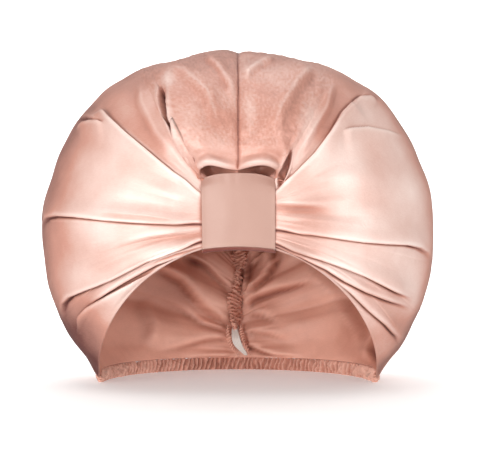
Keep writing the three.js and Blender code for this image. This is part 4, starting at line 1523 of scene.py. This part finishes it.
def runTree(name, points, treeAndIds, material, sizes):
    # sets a tree going on a path, and keeps its result as a plain mesh
    tree, ids = treeAndIds
    path = pathObject(name + "Path", points)
    modifier = path.modifiers.new("make", "NODES")
    modifier.node_group = tree
    modifier[ids["Material"]] = material
    for key, value in sizes.items():
        modifier[ids[key.capitalize()]] = value
    bpy.context.view_layer.update()
    done = path.evaluated_get(bpy.context.evaluated_depsgraph_get())
    mesh = bpy.data.meshes.new_from_object(done)
    mesh.name = name
    bpy.data.objects.remove(path)
    return newObject(name, mesh)


ruffleTree = buildRuffleTree()
stitchTree = buildStitchTree()

# sizes for the two trees are in metres, and paths in millimetres
hemShape = {
    "ruffles": 44.0,
    "depth": 0.0021,
    "thickness": 0.0044,
    "height": 0.0105,
    "slant": 0.3,
    "unevenness": 2.8,
    "steps": 760,
}
hemPath = {"inset": -1.2, "up": 4.6, "trim": 0.006}


def hemLine(inset, up, trim, count=140):
    # the hem's path round the back, from corner to corner
    edge = backPoint(np.ones(count), np.linspace(trim, 1, count))
    step = np.gradient(edge, axis=0)
    away = unit(np.stack([step[:, 1], -step[:, 0], np.zeros(count)], -1))
    half = edge + away * inset
    half[:, 2] = up
    left = half * np.array([-1, 1, 1])
    return np.concatenate([left, half[::-1][1:]]).tolist()


hem = runTree("hemCasing", hemLine(**hemPath), ruffleTree, hemSatin, hemShape)
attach(hem, "root")
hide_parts("hem_casing")
print("bonnet: hem made,", len(hem.data.polygons), "faces")

casingShape = {
    "room": 12.8,  # how far it stands before the back gather
    "foot": 12.2,
    "slitTop": 35.0,
    "top": 114.0,
    "slitHalf": 5.2,
    # places from the foot to the top, as shares of the height, and how far to the side, in mm
    "path": [
        (0.06, 7.5),
        (0.12, 3.5),
        (0.19, -1.2),
        (0.29, -3.2),
        (0.42, -2.0),
        (0.55, 0.3),
        (0.68, 0.8),
        (0.8, -1.5),
        (1.0, 0.0),
    ],
}
casingRuffles = {
    "ruffles": 14.0,
    "depth": 0.0023,
    "thickness": 0.0046,
    "height": 0.023,
    "slant": 0.7,
    "unevenness": 3.4,
    "steps": 260,
}
slitRuffles = {
    "ruffles": 6.0,
    "depth": 0.0007,
    "thickness": 0.0044,
    "height": 0.0042,
    "slant": 0.4,
    "unevenness": 2.2,
    "steps": 90,
}


def casingOut(up):
    # how far to the side the casing runs at a height
    height = np.clip(np.asarray(up, dtype=float) / crownShape["gatherTop"], 0.06, 1)
    knots = np.array(casingShape["path"])
    fine = np.linspace(0.06, 1, 200)
    out = np.interp(fine, knots[:, 0], knots[:, 1])
    for _ in range(30):
        out[1:-1] = (out[:-2] + 2 * out[1:-1] + out[2:]) / 4
    return np.interp(height, fine, out)


def casingLine(bottom, top, count, out=0.0):
    up = np.linspace(bottom, top, count)
    return np.stack([casingOut(up) + out, gatherDepth(up) - casingShape["room"], up], -1).tolist()


casingPath = casingLine(casingShape["slitTop"] - 4, casingShape["top"], 60)
casing = runTree("backCasing", casingPath, ruffleTree, casingLitSatin, casingRuffles)
slitSides = []
for name, side in (("slitSideLeft", -1), ("slitSideRight", 1)):
    out = side * casingShape["slitHalf"]
    line = casingLine(casingShape["foot"], casingShape["slitTop"] + 2, 30, out)
    slitSides.append(runTree(name, line, ruffleTree, casingLitSatin, slitRuffles))
for piece in [casing, *slitSides]:
    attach(piece, "root")
    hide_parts("back_casing")
print("bonnet: back casing made")

# a crescent: widest in the middle of the slit, and its foot leans to the right
tapeShape = {
    "width": 6.6,
    "tips": 0.3,  # share of the width that its ends keep
    "length": 23.0,
    "footLean": 1.6,
    "thickness": 0.9,
    "bulge": 3.4,
    "bulgeSpan": (15.0, 35.0),
    "ribs": 5,
    "ribDepth": 0.12,
    "bottom": 12.2,
    "top": 39.0,
}


def makeTape():
    rows, columns = 60, 26
    up = np.linspace(tapeShape["bottom"], tapeShape["top"], rows)
    across = np.linspace(-1, 1, columns)
    a, z = np.meshgrid(across, up, indexing="ij")
    low, high = tapeShape["bulgeSpan"]
    bulge = tapeShape["bulge"] * np.sin(np.pi * np.clip((z - low) / (high - low), 0, 1)) ** 2
    full = np.sin(np.pi * np.clip((z - tapeShape["bottom"]) / tapeShape["length"], 0, 1)) ** 0.7
    half = tapeShape["width"] / 2 * mix(tapeShape["tips"], 1, full)
    out = casingOut(z) + a * half + tapeShape["footLean"] * ease((20 - z) / 8)
    depth = gatherDepth(z) - casingShape["room"] - bulge
    rib = tapeShape["ribDepth"] * np.cos(a * math.pi * tapeShape["ribs"])
    front = np.stack([out, depth - tapeShape["thickness"] / 2 - rib, z], -1)
    back = np.stack([out, depth + tapeShape["thickness"] / 2 + rib, z], -1)
    ones = np.full(rows, 0.9)
    startEdge = roundedEdge(back[0], front[0], front[1], ones, 2)
    endEdge = roundedEdge(front[-1], back[-1], front[-2], ones, 2)
    mesh = closedSheet("elasticTape", front, back, startEdge, endEdge, False)
    tape = newObject("elasticTape", mesh)
    mesh.materials.append(elasticCloth)
    mesh.materials.append(elasticCloth)
    return tape


tape = makeTape()
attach(tape, "root")
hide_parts("elastic_tape")

stitchShape = {"pitch": 0.003, "length": 0.0021, "thread": 0.0005}
stitchPath = {"inset": 0.9, "up": 8.2, "trim": 0.01}
hemStitches = runTree("hemStitches", hemLine(**stitchPath), stitchTree, thread, stitchShape)
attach(hemStitches, "root")
print("bonnet: elastic and stitches made")
